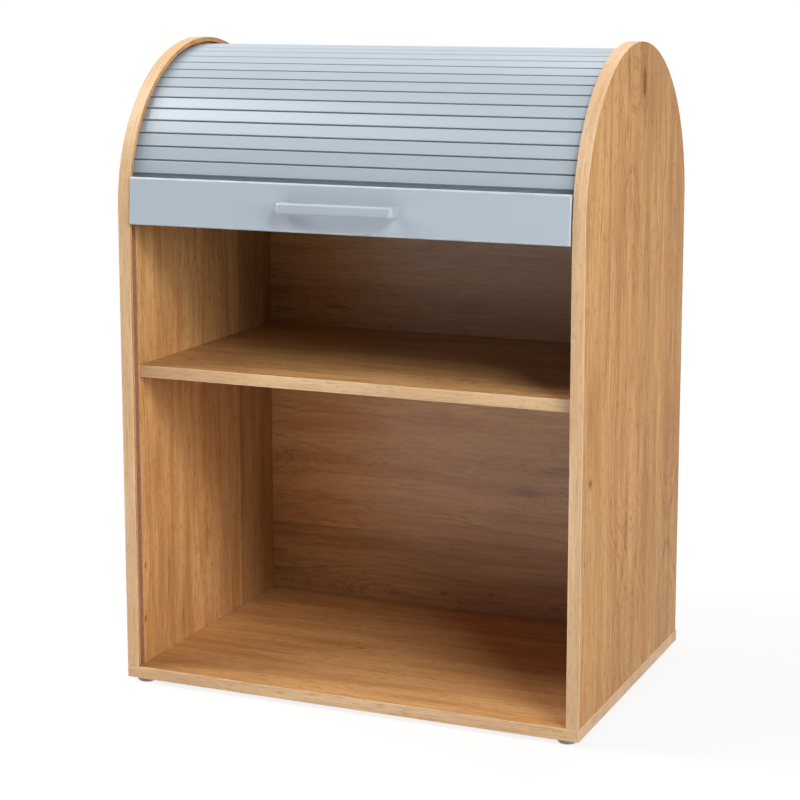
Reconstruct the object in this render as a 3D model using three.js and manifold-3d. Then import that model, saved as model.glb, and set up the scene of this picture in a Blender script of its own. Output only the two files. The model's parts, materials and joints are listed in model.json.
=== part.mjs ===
// A free-standing storage cabinet with a roll shutter. Two side boards with a half-round top stand on a base
// board. A curtain of narrow slats runs in a groove in both, from the front, over the arch and down the back.
// The curtain hangs on an end rail with a pull handle. It is drawn here with the shutter pushed right up.
// Millimetres. X runs to the right, Y runs to the back and Z runs up from the floor.

import * as THREE from 'three';
import { mergeVertices } from 'three/addons/utils/BufferGeometryUtils.js';
import Module from 'manifold-3d';

const wasm = await Module();
wasm.setup();

// Driving dimensions of the carcass
const cabinetWidth = 600;
const sideDepth = 410;
const sideThickness = 16;
const straightHeight = 580;
const baseThickness = 15;
const baseLedge = 5;
const shelfThickness = 15;
const shelfTopHeight = 385;
const shelfSetback = 17;
const innerBackThickness = 12;
const innerBackSetback = 29.5;
const outerBackThickness = 3;
const outerBackInset = 2;
const stretcherWidth = 80;
const stretcherThickness = 15;
const stretcherDrop = 6;
const housingDepth = 4;

// Clearances between pieces
const seatGap = 0.2;
const bore = 0.25;
const overrun = 5;

// Groove that guides the curtain in each side board
const grooveSetback = 6;
const grooveWidth = 9;
const grooveDepth = 7;

// Curtain of slats
const slatPitch = 17;
const slatThickness = 6;
const slatSeam = 1.4;
const slatEdgeBevel = 0.7;
const slatSlideGap = 0.3;
const slatEndGap = 0.8;
const tongueReach = 1.9;
const tongueThickness = 1.2;
const tongueHeight = 1.5;
const tonguePlay = 0.4;
const railToSlatGap = 3.2;
const tailSeamDepth = 3;

// End rail, its guides and its pull handle
const railHeight = 58;
const railThickness = 15;
const railProud = 3;
const railEndGap = 1.5;
const railEdgeBevel = 1.4;
const railRebateHeight = 6;
const railOpenDrop = 13;
const railClosedGap = 1;
const guideSpacing = 44;
const lowerGuideInset = 5;
const guideShankDiameter = 4;
const guideShankLength = 14;
const rollerDiameter = 7.4;
const stretchGap = 0.6;
const handleWidth = 150;
const handleReach = 22;
const handleHeight = 13.5;
const handleBarThickness = 8.5;
const handleLegWidth = 10;
const handleOuterRadius = 7;
const handleInnerRadius = 3;
const handleBevel = 2;
const handleScrewDiameter = 4;
const handleScrewHeadDiameter = 8;
const handleScrewHeadDepth = 2.6;
const handleScrewGrip = 9;

// Feet and the screws that hold the base to the side boards
const footDiameter = 25;
const footHeight = 6;
const footRimHeight = 3.4;
const footSideInset = 19;
const footFrontInset = 16;
const footSpigotDiameter = 8;
const footSpigotLength = 7;
const baseScrewHeadDiameter = 9.4;
const baseScrewHeadDepth = 3;
const baseScrewShankDiameter = 6.4;
const baseScrewThreadDiameter = 5;
const baseScrewLength = 48;
const baseScrewInset = 65;

// Counts of steps on round shapes
const archSteps = 48;
const pinSteps = 16;
const footSteps = 28;
const cornerSteps = 5;
const bevelSteps = 2;

// Heights and planes that several pieces share
const archRadius = sideDepth / 2;
const baseTop = footHeight + baseThickness;
const springline = baseTop + straightHeight;
const innerWidth = cabinetWidth - 2 * sideThickness;
const innerFace = innerWidth / 2;
const grooveOuterRadius = archRadius - grooveSetback;
const grooveInnerRadius = grooveOuterRadius - grooveWidth;
const grooveCentreRadius = (grooveOuterRadius + grooveInnerRadius) / 2;
const shelfTop = baseTop + shelfTopHeight;
const innerBackFront = archRadius - innerBackSetback;
const slatInnerRadius = grooveInnerRadius + slatSlideGap;
const slatLength = innerWidth + 2 * (grooveDepth - slatEndGap);
const hingeRadius = slatInnerRadius + tongueHeight + tongueThickness / 2;
const slatAngle = slatPitch / hingeRadius;

// The upper guides follow the arch while the lower guides are still below it, which tips the raised rail back
const guideReach = Math.hypot(railOpenDrop, grooveCentreRadius);
const guidePhase = Math.atan2(grooveCentreRadius, railOpenDrop);
const guideTerm = (guideSpacing ** 2 - railOpenDrop ** 2 - 2 * grooveCentreRadius ** 2)
  / (2 * grooveCentreRadius * guideReach);
const upperGuideAngle = guidePhase + Math.asin(guideTerm);
const upperGuideShift = grooveCentreRadius * (1 - Math.cos(upperGuideAngle));
const railTilt = Math.asin(upperGuideShift / guideSpacing);
const lowerGuideHeight = springline - railOpenDrop;
const railFront = -(archRadius + railProud - grooveCentreRadius);
const railBack = railFront + railThickness;
const railBottom = -lowerGuideInset;
const railTop = railBottom + railHeight;
const railMiddle = (railBottom + railTop) / 2;
const railTravel = lowerGuideHeight + railBottom - baseTop - railClosedGap;

// The curtain between rail and arch runs straight, and the tipped rail leans into its plane by this much
const curtainFront = -(slatInnerRadius + slatThickness);
const railLean = Math.sin(railTilt) * railTop;
const railRebateFloor = curtainFront + grooveCentreRadius - railLean - stretchGap;

// Where the first slat above the rail starts, and how many slats fill the arch and the back
const railTopReach = railTop * Math.cos(railTilt) - railOpenDrop;
const firstSlatAngle = Math.asin(railTopReach / hingeRadius) + railToSlatGap / hingeRadius;
const archSlatCount = Math.floor((Math.PI - firstSlatAngle) / slatAngle);
const tailSlatCount = Math.round(railTravel / slatPitch);
const tailTop = springline + (Math.PI - firstSlatAngle - archSlatCount * slatAngle) * hingeRadius;

// Materials
const oakUpright = new THREE.MeshStandardMaterial({ color: 0xc89b66, roughness: 0.55, metalness: 0 });
const oakLevel = new THREE.MeshStandardMaterial({ color: 0xbf9058, roughness: 0.55, metalness: 0 });
const hardboard = new THREE.MeshStandardMaterial({ color: 0x8a6744, roughness: 0.8, metalness: 0 });
const shutterPlastic = new THREE.MeshStandardMaterial({ color: 0xb4c2cf, roughness: 0.4, metalness: 0 });
const railPlastic = new THREE.MeshStandardMaterial({ color: 0xafbcc8, roughness: 0.35, metalness: 0 });
const guidePlastic = new THREE.MeshStandardMaterial({ color: 0xe6e6e2, roughness: 0.5, metalness: 0 });
const footPlastic = new THREE.MeshStandardMaterial({ color: 0x9a9a98, roughness: 0.6, metalness: 0 });
const zincSteel = new THREE.MeshStandardMaterial({ color: 0xb9bcc0, roughness: 0.35, metalness: 1 });

// Turns a drawing in depth and height, extruded along Z, so that depth is Y, height is Z and Z is X
const sectionToWidth = new THREE.Matrix4().makeBasis(
  new THREE.Vector3(0, 1, 0),
  new THREE.Vector3(0, 0, 1),
  new THREE.Vector3(1, 0, 0),
);

function solidOf(geometry) {
  const bare = geometry.clone();
  bare.deleteAttribute('normal');
  bare.deleteAttribute('uv');
  const merged = mergeVertices(bare);
  const vertProperties = new Float32Array(merged.attributes.position.array);
  const triVerts = new Uint32Array(merged.index.array);
  return new wasm.Manifold(new wasm.Mesh({ numProp: 3, vertProperties, triVerts }));
}

function geometryOf(solid) {
  const mesh = solid.getMesh();
  const geometry = new THREE.BufferGeometry();
  geometry.setAttribute('position', new THREE.BufferAttribute(new Float32Array(mesh.vertProperties), 3));
  geometry.setIndex(new THREE.BufferAttribute(new Uint32Array(mesh.triVerts), 1));
  geometry.computeVertexNormals();
  return geometry;
}

function cutAway(geometry, tools) {
  return geometryOf(tools.reduce((solid, tool) => solid.subtract(solidOf(tool)), solidOf(geometry)));
}

function boxBetween(low, high) {
  const size = high.map((value, axis) => value - low[axis]);
  const geometry = new THREE.BoxGeometry(...size);
  geometry.translate(...low.map((value, axis) => value + size[axis] / 2));
  return geometry;
}

// A section drawn in depth and height, extruded across the width from one X to another
function widthExtrusion(shape, fromX, toX) {
  const geometry = new THREE.ExtrudeGeometry(shape, {
    depth: toX - fromX,
    bevelEnabled: false,
    curveSegments: archSteps,
  });
  geometry.applyMatrix4(sectionToWidth);
  geometry.translate(fromX, 0, 0);
  return geometry;
}

// A turned piece from radius and height pairs that start and end on its axis
function turned(profile, steps) {
  const points = profile.map(([radius, height]) => new THREE.Vector2(radius, height));
  const geometry = new THREE.LatheGeometry(points, steps);
  geometry.rotateX(Math.PI / 2);
  return geometry;
}

// A plain round bar along Z from one height to another
function roundBar(diameter, from, to, steps) {
  return turned([[0, from], [diameter / 2, from], [diameter / 2, to], [0, to]], steps);
}

function pieceMesh(name, geometry, material) {
  const mesh = new THREE.Mesh(geometry, material);
  mesh.name = name;
  return mesh;
}

// Outline of an upright with a half-round head, from a foot height up to the springline and over
function archOutline(radius, foot) {
  const shape = new THREE.Shape();
  shape.moveTo(-radius, foot);
  shape.lineTo(-radius, springline);
  shape.absarc(0, springline, radius, Math.PI, 0, true);
  shape.lineTo(radius, foot);
  shape.closePath();
  return shape;
}

// The guide groove's outline: the band between two upright arches, open at the bottom
function grooveOutline(foot) {
  const shape = new THREE.Shape();
  shape.moveTo(-grooveOuterRadius, foot);
  shape.lineTo(-grooveOuterRadius, springline);
  shape.absarc(0, springline, grooveOuterRadius, Math.PI, 0, true);
  shape.lineTo(grooveOuterRadius, foot);
  shape.lineTo(grooveInnerRadius, foot);
  shape.lineTo(grooveInnerRadius, springline);
  shape.absarc(0, springline, grooveInnerRadius, 0, Math.PI, false);
  shape.lineTo(-grooveInnerRadius, foot);
  shape.closePath();
  return shape;
}

// The boards that are let into both side boards, as their low and high corners without the parts let in
const shelfBox = {
  low: [-innerFace, -(archRadius - shelfSetback), shelfTop - shelfThickness],
  high: [innerFace, innerBackFront - seatGap, shelfTop],
};
const innerBackBox = {
  low: [-innerFace, innerBackFront, baseTop + seatGap],
  high: [innerFace, innerBackFront + innerBackThickness, springline],
};
const stretcherTop = springline + Math.sqrt(slatInnerRadius ** 2 - (stretcherWidth / 2) ** 2) - stretcherDrop;
const stretcherBox = {
  low: [-innerFace, -stretcherWidth / 2, stretcherTop - stretcherThickness],
  high: [innerFace, stretcherWidth / 2, stretcherTop],
};
const letInBoxes = [shelfBox, innerBackBox, stretcherBox];

// A board with its ends let into the side boards
function letInBoard(box) {
  const [lowX, lowY, lowZ] = box.low;
  const [highX, highY, highZ] = box.high;
  const reach = housingDepth - seatGap;
  return boxBetween([lowX - reach, lowY, lowZ], [highX + reach, highY, highZ]);
}

// The housing that such a board needs in the side boards
function housing(box) {
  const [lowX, lowY, lowZ] = box.low;
  const [highX, highY, highZ] = box.high;
  return boxBetween(
    [lowX - housingDepth, lowY - seatGap, lowZ - seatGap],
    [highX + housingDepth, highY + seatGap, highZ + seatGap],
  );
}

// Places of the four base screws and of the four feet, as [name, x, y]
const screwX = cabinetWidth / 2 - sideThickness / 2;
const screwY = archRadius - baseScrewInset;
const footX = cabinetWidth / 2 - footSideInset;
const footFrontY = -(archRadius - footFrontInset);
const footBackY = archRadius - footFrontInset;
const screwPlaces = [
  ['front_left', -screwX, -screwY],
  ['front_right', screwX, -screwY],
  ['back_left', -screwX, screwY],
  ['back_right', screwX, screwY],
];
const footPlaces = [
  ['front_left', -footX, footFrontY],
  ['front_right', footX, footFrontY],
  ['back_left', -footX, footBackY],
  ['back_right', footX, footBackY],
];

// A base screw, or with play the hole that it needs. It stands head down, from the base's underside upwards
function baseScrewForm(play) {
  const foot = play > 0 ? footHeight - overrun : footHeight + seatGap;
  const headTop = footHeight + baseScrewHeadDepth + play;
  const shankTop = baseTop + play;
  const tip = footHeight + baseScrewLength + play;
  const head = baseScrewHeadDiameter / 2 + play;
  const shank = baseScrewShankDiameter / 2 + play;
  const thread = baseScrewThreadDiameter / 2 + play;
  return turned(
    [[0, foot], [head, foot], [head, headTop], [shank, headTop], [shank, shankTop], [thread, shankTop],
      [thread, tip], [0, tip]],
    pinSteps,
  );
}

function baseScrewHoles() {
  return screwPlaces.map(([, x, y]) => baseScrewForm(bore).translate(x, y, 0));
}

function buildBase() {
  const base = boxBetween(
    [-cabinetWidth / 2, -archRadius, footHeight],
    [cabinetWidth / 2, archRadius + baseLedge, baseTop],
  );
  const holeDiameter = footSpigotDiameter + 2 * bore;
  const holeTop = footHeight + footSpigotLength + bore;
  const spigotHoles = footPlaces.map(
    ([, x, y]) => roundBar(holeDiameter, footHeight - overrun, holeTop, pinSteps).translate(x, y, 0),
  );
  return pieceMesh('base_panel', cutAway(base, [...baseScrewHoles(), ...spigotHoles]), oakLevel);
}

// A side board: the arched blank, less the guide groove, the housings and the screw holes
function buildSide(name, side) {
  const inner = side * innerFace;
  const outer = side * (cabinetWidth / 2);
  const blank = widthExtrusion(
    archOutline(archRadius, baseTop + seatGap),
    Math.min(inner, outer),
    Math.max(inner, outer),
  );
  const grooveBottom = side * (innerFace + grooveDepth);
  const mouth = side * (innerFace - overrun);
  const groove = widthExtrusion(
    grooveOutline(baseTop - overrun),
    Math.min(mouth, grooveBottom),
    Math.max(mouth, grooveBottom),
  );
  const tools = [groove, ...letInBoxes.map(housing), ...baseScrewHoles()];
  return pieceMesh(name, cutAway(blank, tools), oakUpright);
}

function buildOuterBack() {
  const half = cabinetWidth / 2 - outerBackInset;
  const front = archRadius + seatGap;
  const back = front + outerBackThickness;
  const geometry = boxBetween([-half, front, baseTop + seatGap], [half, back, springline]);
  return pieceMesh('outer_back_panel', geometry, hardboard);
}

function buildFoot(name, x, y) {
  const rim = footDiameter / 2;
  const spigot = footSpigotDiameter / 2;
  const seat = footHeight - seatGap;
  const tread = rim - (footHeight - footRimHeight) / 2;
  const geometry = turned(
    [[0, 0], [tread, 0], [rim, footRimHeight], [rim, seat], [spigot, seat],
      [spigot, footHeight + footSpigotLength], [0, footHeight + footSpigotLength]],
    footSteps,
  );
  const mesh = pieceMesh(name, geometry, footPlastic);
  mesh.position.set(x, y, 0);
  return mesh;
}

// One slat's section. Its first coordinate is minus the height above its back, its second runs up the
// curtain. The upper edge carries a tongue that hooks into the slot in the next slat's lower edge.
function slatSection() {
  const half = (slatPitch - slatSeam) / 2;
  const tip = slatPitch / 2 + tongueReach;
  const slotFloor = -slatPitch / 2 + tongueReach + tonguePlay;
  const tongueTop = tongueHeight + tongueThickness;
  const points = [
    [0, -half],
    [0, half],
    [-tongueHeight, half],
    [-tongueHeight, tip],
    [-tongueTop, tip],
    [-tongueTop, half],
    [-slatThickness + slatEdgeBevel, half],
    [-slatThickness, half - slatEdgeBevel],
    [-slatThickness, -half + slatEdgeBevel],
    [-slatThickness + slatEdgeBevel, -half],
    [-tongueTop - tonguePlay, -half],
    [-tongueTop - tonguePlay, slotFloor],
    [-tongueHeight + tonguePlay, slotFloor],
    [-tongueHeight + tonguePlay, -half],
  ];
  return new THREE.Shape(points.map(([y, z]) => new THREE.Vector2(y, z)));
}

// The slats on the arch, each on its own pivot at the arch's centre
function buildArchSlats() {
  const group = new THREE.Group();
  group.position.z = springline;
  const section = slatSection();
  for (let index = 0; index < archSlatCount; index += 1) {
    const geometry = widthExtrusion(section, -slatLength / 2, slatLength / 2);
    const name = `curtain_slat_${String(index + 1).padStart(2, '0')}`;
    const slat = pieceMesh(name, geometry, shutterPlastic);
    slat.position.y = -slatInnerRadius;
    const pivot = new THREE.Group();
    pivot.rotation.x = -(firstSlatAngle + (index + 0.5) * slatAngle);
    pivot.add(slat);
    group.add(pivot);
  }
  return group;
}

// The rest of the curtain, stored straight behind the inner back, hooked together as one piece.
// Its top edge has the slot for the last tongue on the arch.
function buildTail() {
  const inner = slatInnerRadius;
  const outer = inner + slatThickness;
  const seamFloor = outer - tailSeamDepth;
  const slotFloor = tailTop - tongueReach - tonguePlay;
  const slotInner = inner + tongueHeight - tonguePlay;
  const slotOuter = inner + tongueHeight + tongueThickness + tonguePlay;
  const crest = tailTop - slatSeam / 2;
  const points = [
    [inner, crest],
    [slotInner, crest],
    [slotInner, slotFloor],
    [slotOuter, slotFloor],
    [slotOuter, crest],
  ];
  for (let index = 0; index < tailSlatCount; index += 1) {
    const top = tailTop - index * slatPitch - slatSeam / 2;
    const bottom = top - slatPitch + slatSeam;
    points.push([outer - slatEdgeBevel, top], [outer, top - slatEdgeBevel]);
    points.push([outer, bottom + slatEdgeBevel], [outer - slatEdgeBevel, bottom]);
    if (index < tailSlatCount - 1) {
      points.push([seamFloor, bottom], [seamFloor, bottom - slatSeam]);
    }
  }
  points.push([inner, tailTop - tailSlatCount * slatPitch + slatSeam / 2]);
  const section = new THREE.Shape(points.map(([y, z]) => new THREE.Vector2(y, z)));
  return pieceMesh('curtain_tail', widthExtrusion(section, -slatLength / 2, slatLength / 2), shutterPlastic);
}

// A guide pin along Z for the rail's right end: its shank is in the rail and its head is in the groove
function guideForm(headDiameter) {
  const shank = guideShankDiameter / 2;
  const head = headDiameter / 2;
  const railEnd = innerFace - railEndGap;
  const start = railEnd - guideShankLength;
  const headStart = innerFace + seatGap;
  const tip = innerFace + grooveDepth - slatEndGap;
  return turned(
    [[0, start], [shank, start], [shank, headStart], [head, headStart], [head, tip], [0, tip]],
    pinSteps,
  );
}

// Lays a form that points along Z out along X, to the right or to the left
function layAlongX(geometry, side) {
  geometry.rotateY(side * (Math.PI / 2));
  return geometry;
}

// The rail's section about its lower guides, drawn in depth and height
function railSection() {
  const points = [
    [railFront, railBottom + railEdgeBevel],
    [railFront, railTop - railEdgeBevel],
    [railFront + railEdgeBevel, railTop],
    [railBack, railTop],
    [railBack, railBottom],
    [railFront + railEdgeBevel, railBottom],
  ];
  return new THREE.Shape(points.map(([y, z]) => new THREE.Vector2(y, z)));
}

const handleLegX = handleWidth / 2 - handleLegWidth / 2;

// A handle screw along Y, head at the rail's back, or with play the hole that it needs
function handleScrewForm(play) {
  const headBack = play > 0 ? railBack + overrun : railBack - seatGap;
  const headFront = railBack - handleScrewHeadDepth - play;
  const tip = railFront - handleScrewGrip - play;
  const head = handleScrewHeadDiameter / 2 + play;
  const shank = handleScrewDiameter / 2 + play;
  const geometry = turned(
    [[0, tip], [shank, tip], [shank, headFront], [head, headFront], [head, headBack], [0, headBack]],
    pinSteps,
  );
  geometry.rotateX(-Math.PI / 2);
  return geometry;
}

function handleScrewsAt(play) {
  return [-handleLegX, handleLegX].map((x) => handleScrewForm(play).translate(x, 0, railMiddle));
}

// The rail, less a rebate along its upper back for the gathered curtain, and less its screw and pin holes
function buildRail() {
  const half = innerFace - railEndGap;
  const guideHoles = [];
  for (const side of [-1, 1]) {
    for (const height of [0, guideSpacing]) {
      const hole = roundBar(
        guideShankDiameter + 2 * bore,
        half - guideShankLength - bore,
        half + overrun,
        pinSteps,
      );
      guideHoles.push(layAlongX(hole, side).translate(0, 0, height));
    }
  }
  const blank = widthExtrusion(railSection(), -half, half);
  const rebate = boxBetween(
    [-half - overrun, railRebateFloor, railTop - railRebateHeight],
    [half + overrun, railBack + overrun, railTop + overrun],
  );
  const holes = [...guideHoles, ...handleScrewsAt(bore)];
  return pieceMesh('end_rail', cutAway(blank, [rebate, ...holes]), railPlastic);
}

// A bridge handle drawn from above: a bar with rounded corners on two legs that meet the rail
function handleOutline() {
  const half = handleWidth / 2;
  const back = -seatGap;
  const front = -handleReach;
  const outerX = half - handleOuterRadius;
  const outerY = front + handleOuterRadius;
  const innerHalf = half - handleLegWidth;
  const innerFront = front + handleBarThickness;
  const innerX = innerHalf - handleInnerRadius;
  const innerY = innerFront + handleInnerRadius;
  const quarter = Math.PI / 2;
  const shape = new THREE.Shape();
  shape.moveTo(-half, back);
  shape.lineTo(-half, outerY);
  shape.absarc(-outerX, outerY, handleOuterRadius, -2 * quarter, -quarter, false);
  shape.lineTo(outerX, front);
  shape.absarc(outerX, outerY, handleOuterRadius, -quarter, 0, false);
  shape.lineTo(half, back);
  shape.lineTo(innerHalf, back);
  shape.lineTo(innerHalf, innerY);
  shape.absarc(innerX, innerY, handleInnerRadius, 0, -quarter, true);
  shape.lineTo(-innerX, innerFront);
  shape.absarc(-innerX, innerY, handleInnerRadius, -quarter, -2 * quarter, true);
  shape.lineTo(-innerHalf, back);
  shape.closePath();
  return shape;
}

function buildHandle() {
  const geometry = new THREE.ExtrudeGeometry(handleOutline(), {
    depth: handleHeight - 2 * handleBevel,
    bevelEnabled: true,
    bevelThickness: handleBevel,
    bevelSize: handleBevel,
    bevelOffset: -handleBevel,
    bevelSegments: bevelSteps,
    curveSegments: cornerSteps,
  });
  geometry.translate(0, railFront, railMiddle - (handleHeight - 2 * handleBevel) / 2);
  return pieceMesh('pull_handle', cutAway(geometry, handleScrewsAt(bore)), railPlastic);
}

// Everything that the lower guides carry: the guides themselves, and the rail that is tipped back about them
function buildRailAssembly() {
  const carriage = new THREE.Group();
  carriage.position.set(0, -grooveCentreRadius, lowerGuideHeight);
  const tipped = new THREE.Group();
  tipped.rotation.x = -railTilt;
  tipped.add(buildRail(), buildHandle());
  const screws = handleScrewsAt(0);
  for (const [index, [label, side]] of [['left', -1], ['right', 1]].entries()) {
    const lowerForm = layAlongX(guideForm(rollerDiameter), side);
    const upperForm = layAlongX(guideForm(guideShankDiameter), side);
    const upper = pieceMesh(`upper_guide_${label}`, upperForm, guidePlastic);
    upper.position.z = guideSpacing;
    carriage.add(pieceMesh(`lower_guide_${label}`, lowerForm, guidePlastic));
    tipped.add(upper, pieceMesh(`handle_screw_${label}`, screws[index], zincSteel));
  }
  carriage.add(tipped);
  return carriage;
}

// The curtain between the rail and the arch. With the shutter up it lies gathered in the rail's rebate.
function buildFrontStretch() {
  const half = innerFace - slatEndGap;
  const top = springline + railTopReach - stretchGap;
  const bottom = top - railRebateHeight + 2 * stretchGap;
  const geometry = boxBetween([-half, curtainFront, bottom], [half, -slatInnerRadius, top]);
  return pieceMesh('curtain_front_stretch', geometry, shutterPlastic);
}

function buildCabinet() {
  const cabinet = new THREE.Group();
  cabinet.add(
    buildBase(),
    buildSide('left_side_panel', -1),
    buildSide('right_side_panel', 1),
    pieceMesh('middle_shelf', letInBoard(shelfBox), oakLevel),
    pieceMesh('inner_back_panel', letInBoard(innerBackBox), oakLevel),
    pieceMesh('top_stretcher', letInBoard(stretcherBox), oakLevel),
    buildOuterBack(),
    buildArchSlats(),
    buildTail(),
    buildFrontStretch(),
    buildRailAssembly(),
  );
  for (const [place, x, y] of footPlaces) {
    cabinet.add(buildFoot(`foot_${place}`, x, y));
  }
  for (const [place, x, y] of screwPlaces) {
    cabinet.add(pieceMesh(`base_screw_${place}`, baseScrewForm(0).translate(x, y, 0), zincSteel));
  }
  return cabinet;
}

// The origin is on the floor, in the middle between the handle's front and the base's back edge
const handleFront = -railFront + handleReach;
const handleLowEdge = railMiddle - handleHeight / 2 + handleBevel;
const frontReach = grooveCentreRadius + handleFront * Math.cos(railTilt) - handleLowEdge * Math.sin(railTilt);
const backReach = archRadius + baseLedge;

const storageCabinet = buildCabinet();
storageCabinet.position.y = (frontReach - backReach) / 2;

export default storageCabinet;
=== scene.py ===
"""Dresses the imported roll-shutter cabinet: oak boards, a curtain of slats, its rail, handle and fittings.

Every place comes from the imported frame. Metres: X runs to the right, Y to the back and Z up from the floor.
"""

import json
import logging
import math
from collections.abc import Callable, Iterable, Sequence
from dataclasses import dataclass
from enum import Enum
from functools import partial, reduce
from typing import Any

import bmesh
import bpy
import numpy as np
from bmesh.types import BMEdge, BMesh, BMFace
from bpy.types import Material, Node, NodeSocket, NodeTree, Object
from mathutils import Matrix, Vector


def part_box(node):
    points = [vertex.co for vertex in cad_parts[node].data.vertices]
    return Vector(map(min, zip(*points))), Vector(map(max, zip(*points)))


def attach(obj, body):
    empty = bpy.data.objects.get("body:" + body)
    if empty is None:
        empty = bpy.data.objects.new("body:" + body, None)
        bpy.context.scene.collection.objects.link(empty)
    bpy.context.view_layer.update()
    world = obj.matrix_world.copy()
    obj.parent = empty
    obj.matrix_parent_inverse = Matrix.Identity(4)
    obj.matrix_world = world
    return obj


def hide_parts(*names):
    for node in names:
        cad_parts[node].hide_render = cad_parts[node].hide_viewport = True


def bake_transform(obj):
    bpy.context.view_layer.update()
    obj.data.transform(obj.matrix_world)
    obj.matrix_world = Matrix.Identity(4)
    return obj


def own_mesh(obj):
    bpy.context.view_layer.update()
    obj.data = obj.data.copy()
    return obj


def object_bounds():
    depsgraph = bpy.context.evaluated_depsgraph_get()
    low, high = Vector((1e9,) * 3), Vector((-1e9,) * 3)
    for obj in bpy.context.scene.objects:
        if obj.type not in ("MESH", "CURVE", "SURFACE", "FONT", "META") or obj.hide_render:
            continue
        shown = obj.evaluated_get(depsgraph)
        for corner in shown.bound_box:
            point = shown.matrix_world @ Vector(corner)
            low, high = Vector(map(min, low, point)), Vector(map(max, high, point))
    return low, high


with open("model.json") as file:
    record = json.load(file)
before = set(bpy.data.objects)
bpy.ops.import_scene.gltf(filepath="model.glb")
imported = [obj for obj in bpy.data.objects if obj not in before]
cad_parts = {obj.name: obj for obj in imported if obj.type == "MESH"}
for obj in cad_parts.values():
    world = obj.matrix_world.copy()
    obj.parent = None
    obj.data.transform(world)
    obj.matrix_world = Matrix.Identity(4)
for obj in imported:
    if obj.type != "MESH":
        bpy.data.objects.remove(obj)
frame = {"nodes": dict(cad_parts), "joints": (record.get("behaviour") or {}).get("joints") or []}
CAD_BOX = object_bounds()

LOG = logging.getLogger("cabinet")
MM = 0.001
TOUCH = 0.02 * MM
GRAIN = "grain"
RUBBED = "rubbed"
SLAT_TONE = "slat_tone"

Colour = tuple[float, float, float, float]
Feed = NodeSocket | float | tuple[float, ...]
Sockets = dict[str, NodeSocket]
Outline = Sequence[tuple[float, float]]


def colour(red: int, green: int, blue: int) -> Colour:
    """Turns a screen colour into the linear one that shaders take.

    Args:
        red: Red from 0 to 255.
        green: Green from 0 to 255.
        blue: Blue from 0 to 255.

    Returns:
        The linear colour, opaque.
    """
    parts = [part / 255 for part in (red, green, blue)]
    low, slope, lift, power = 0.04045, 12.92, 0.055, 2.4
    lit = [part / slope if part <= low else ((part + lift) / (1 + lift)) ** power for part in parts]
    return (lit[0], lit[1], lit[2], 1.0)


@dataclass(frozen=True)
class Wander:
    """A slow change along the grain, by its changes a metre across and along it and how far it reaches."""

    side: float
    length: float
    detail: float
    reach: float


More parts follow.
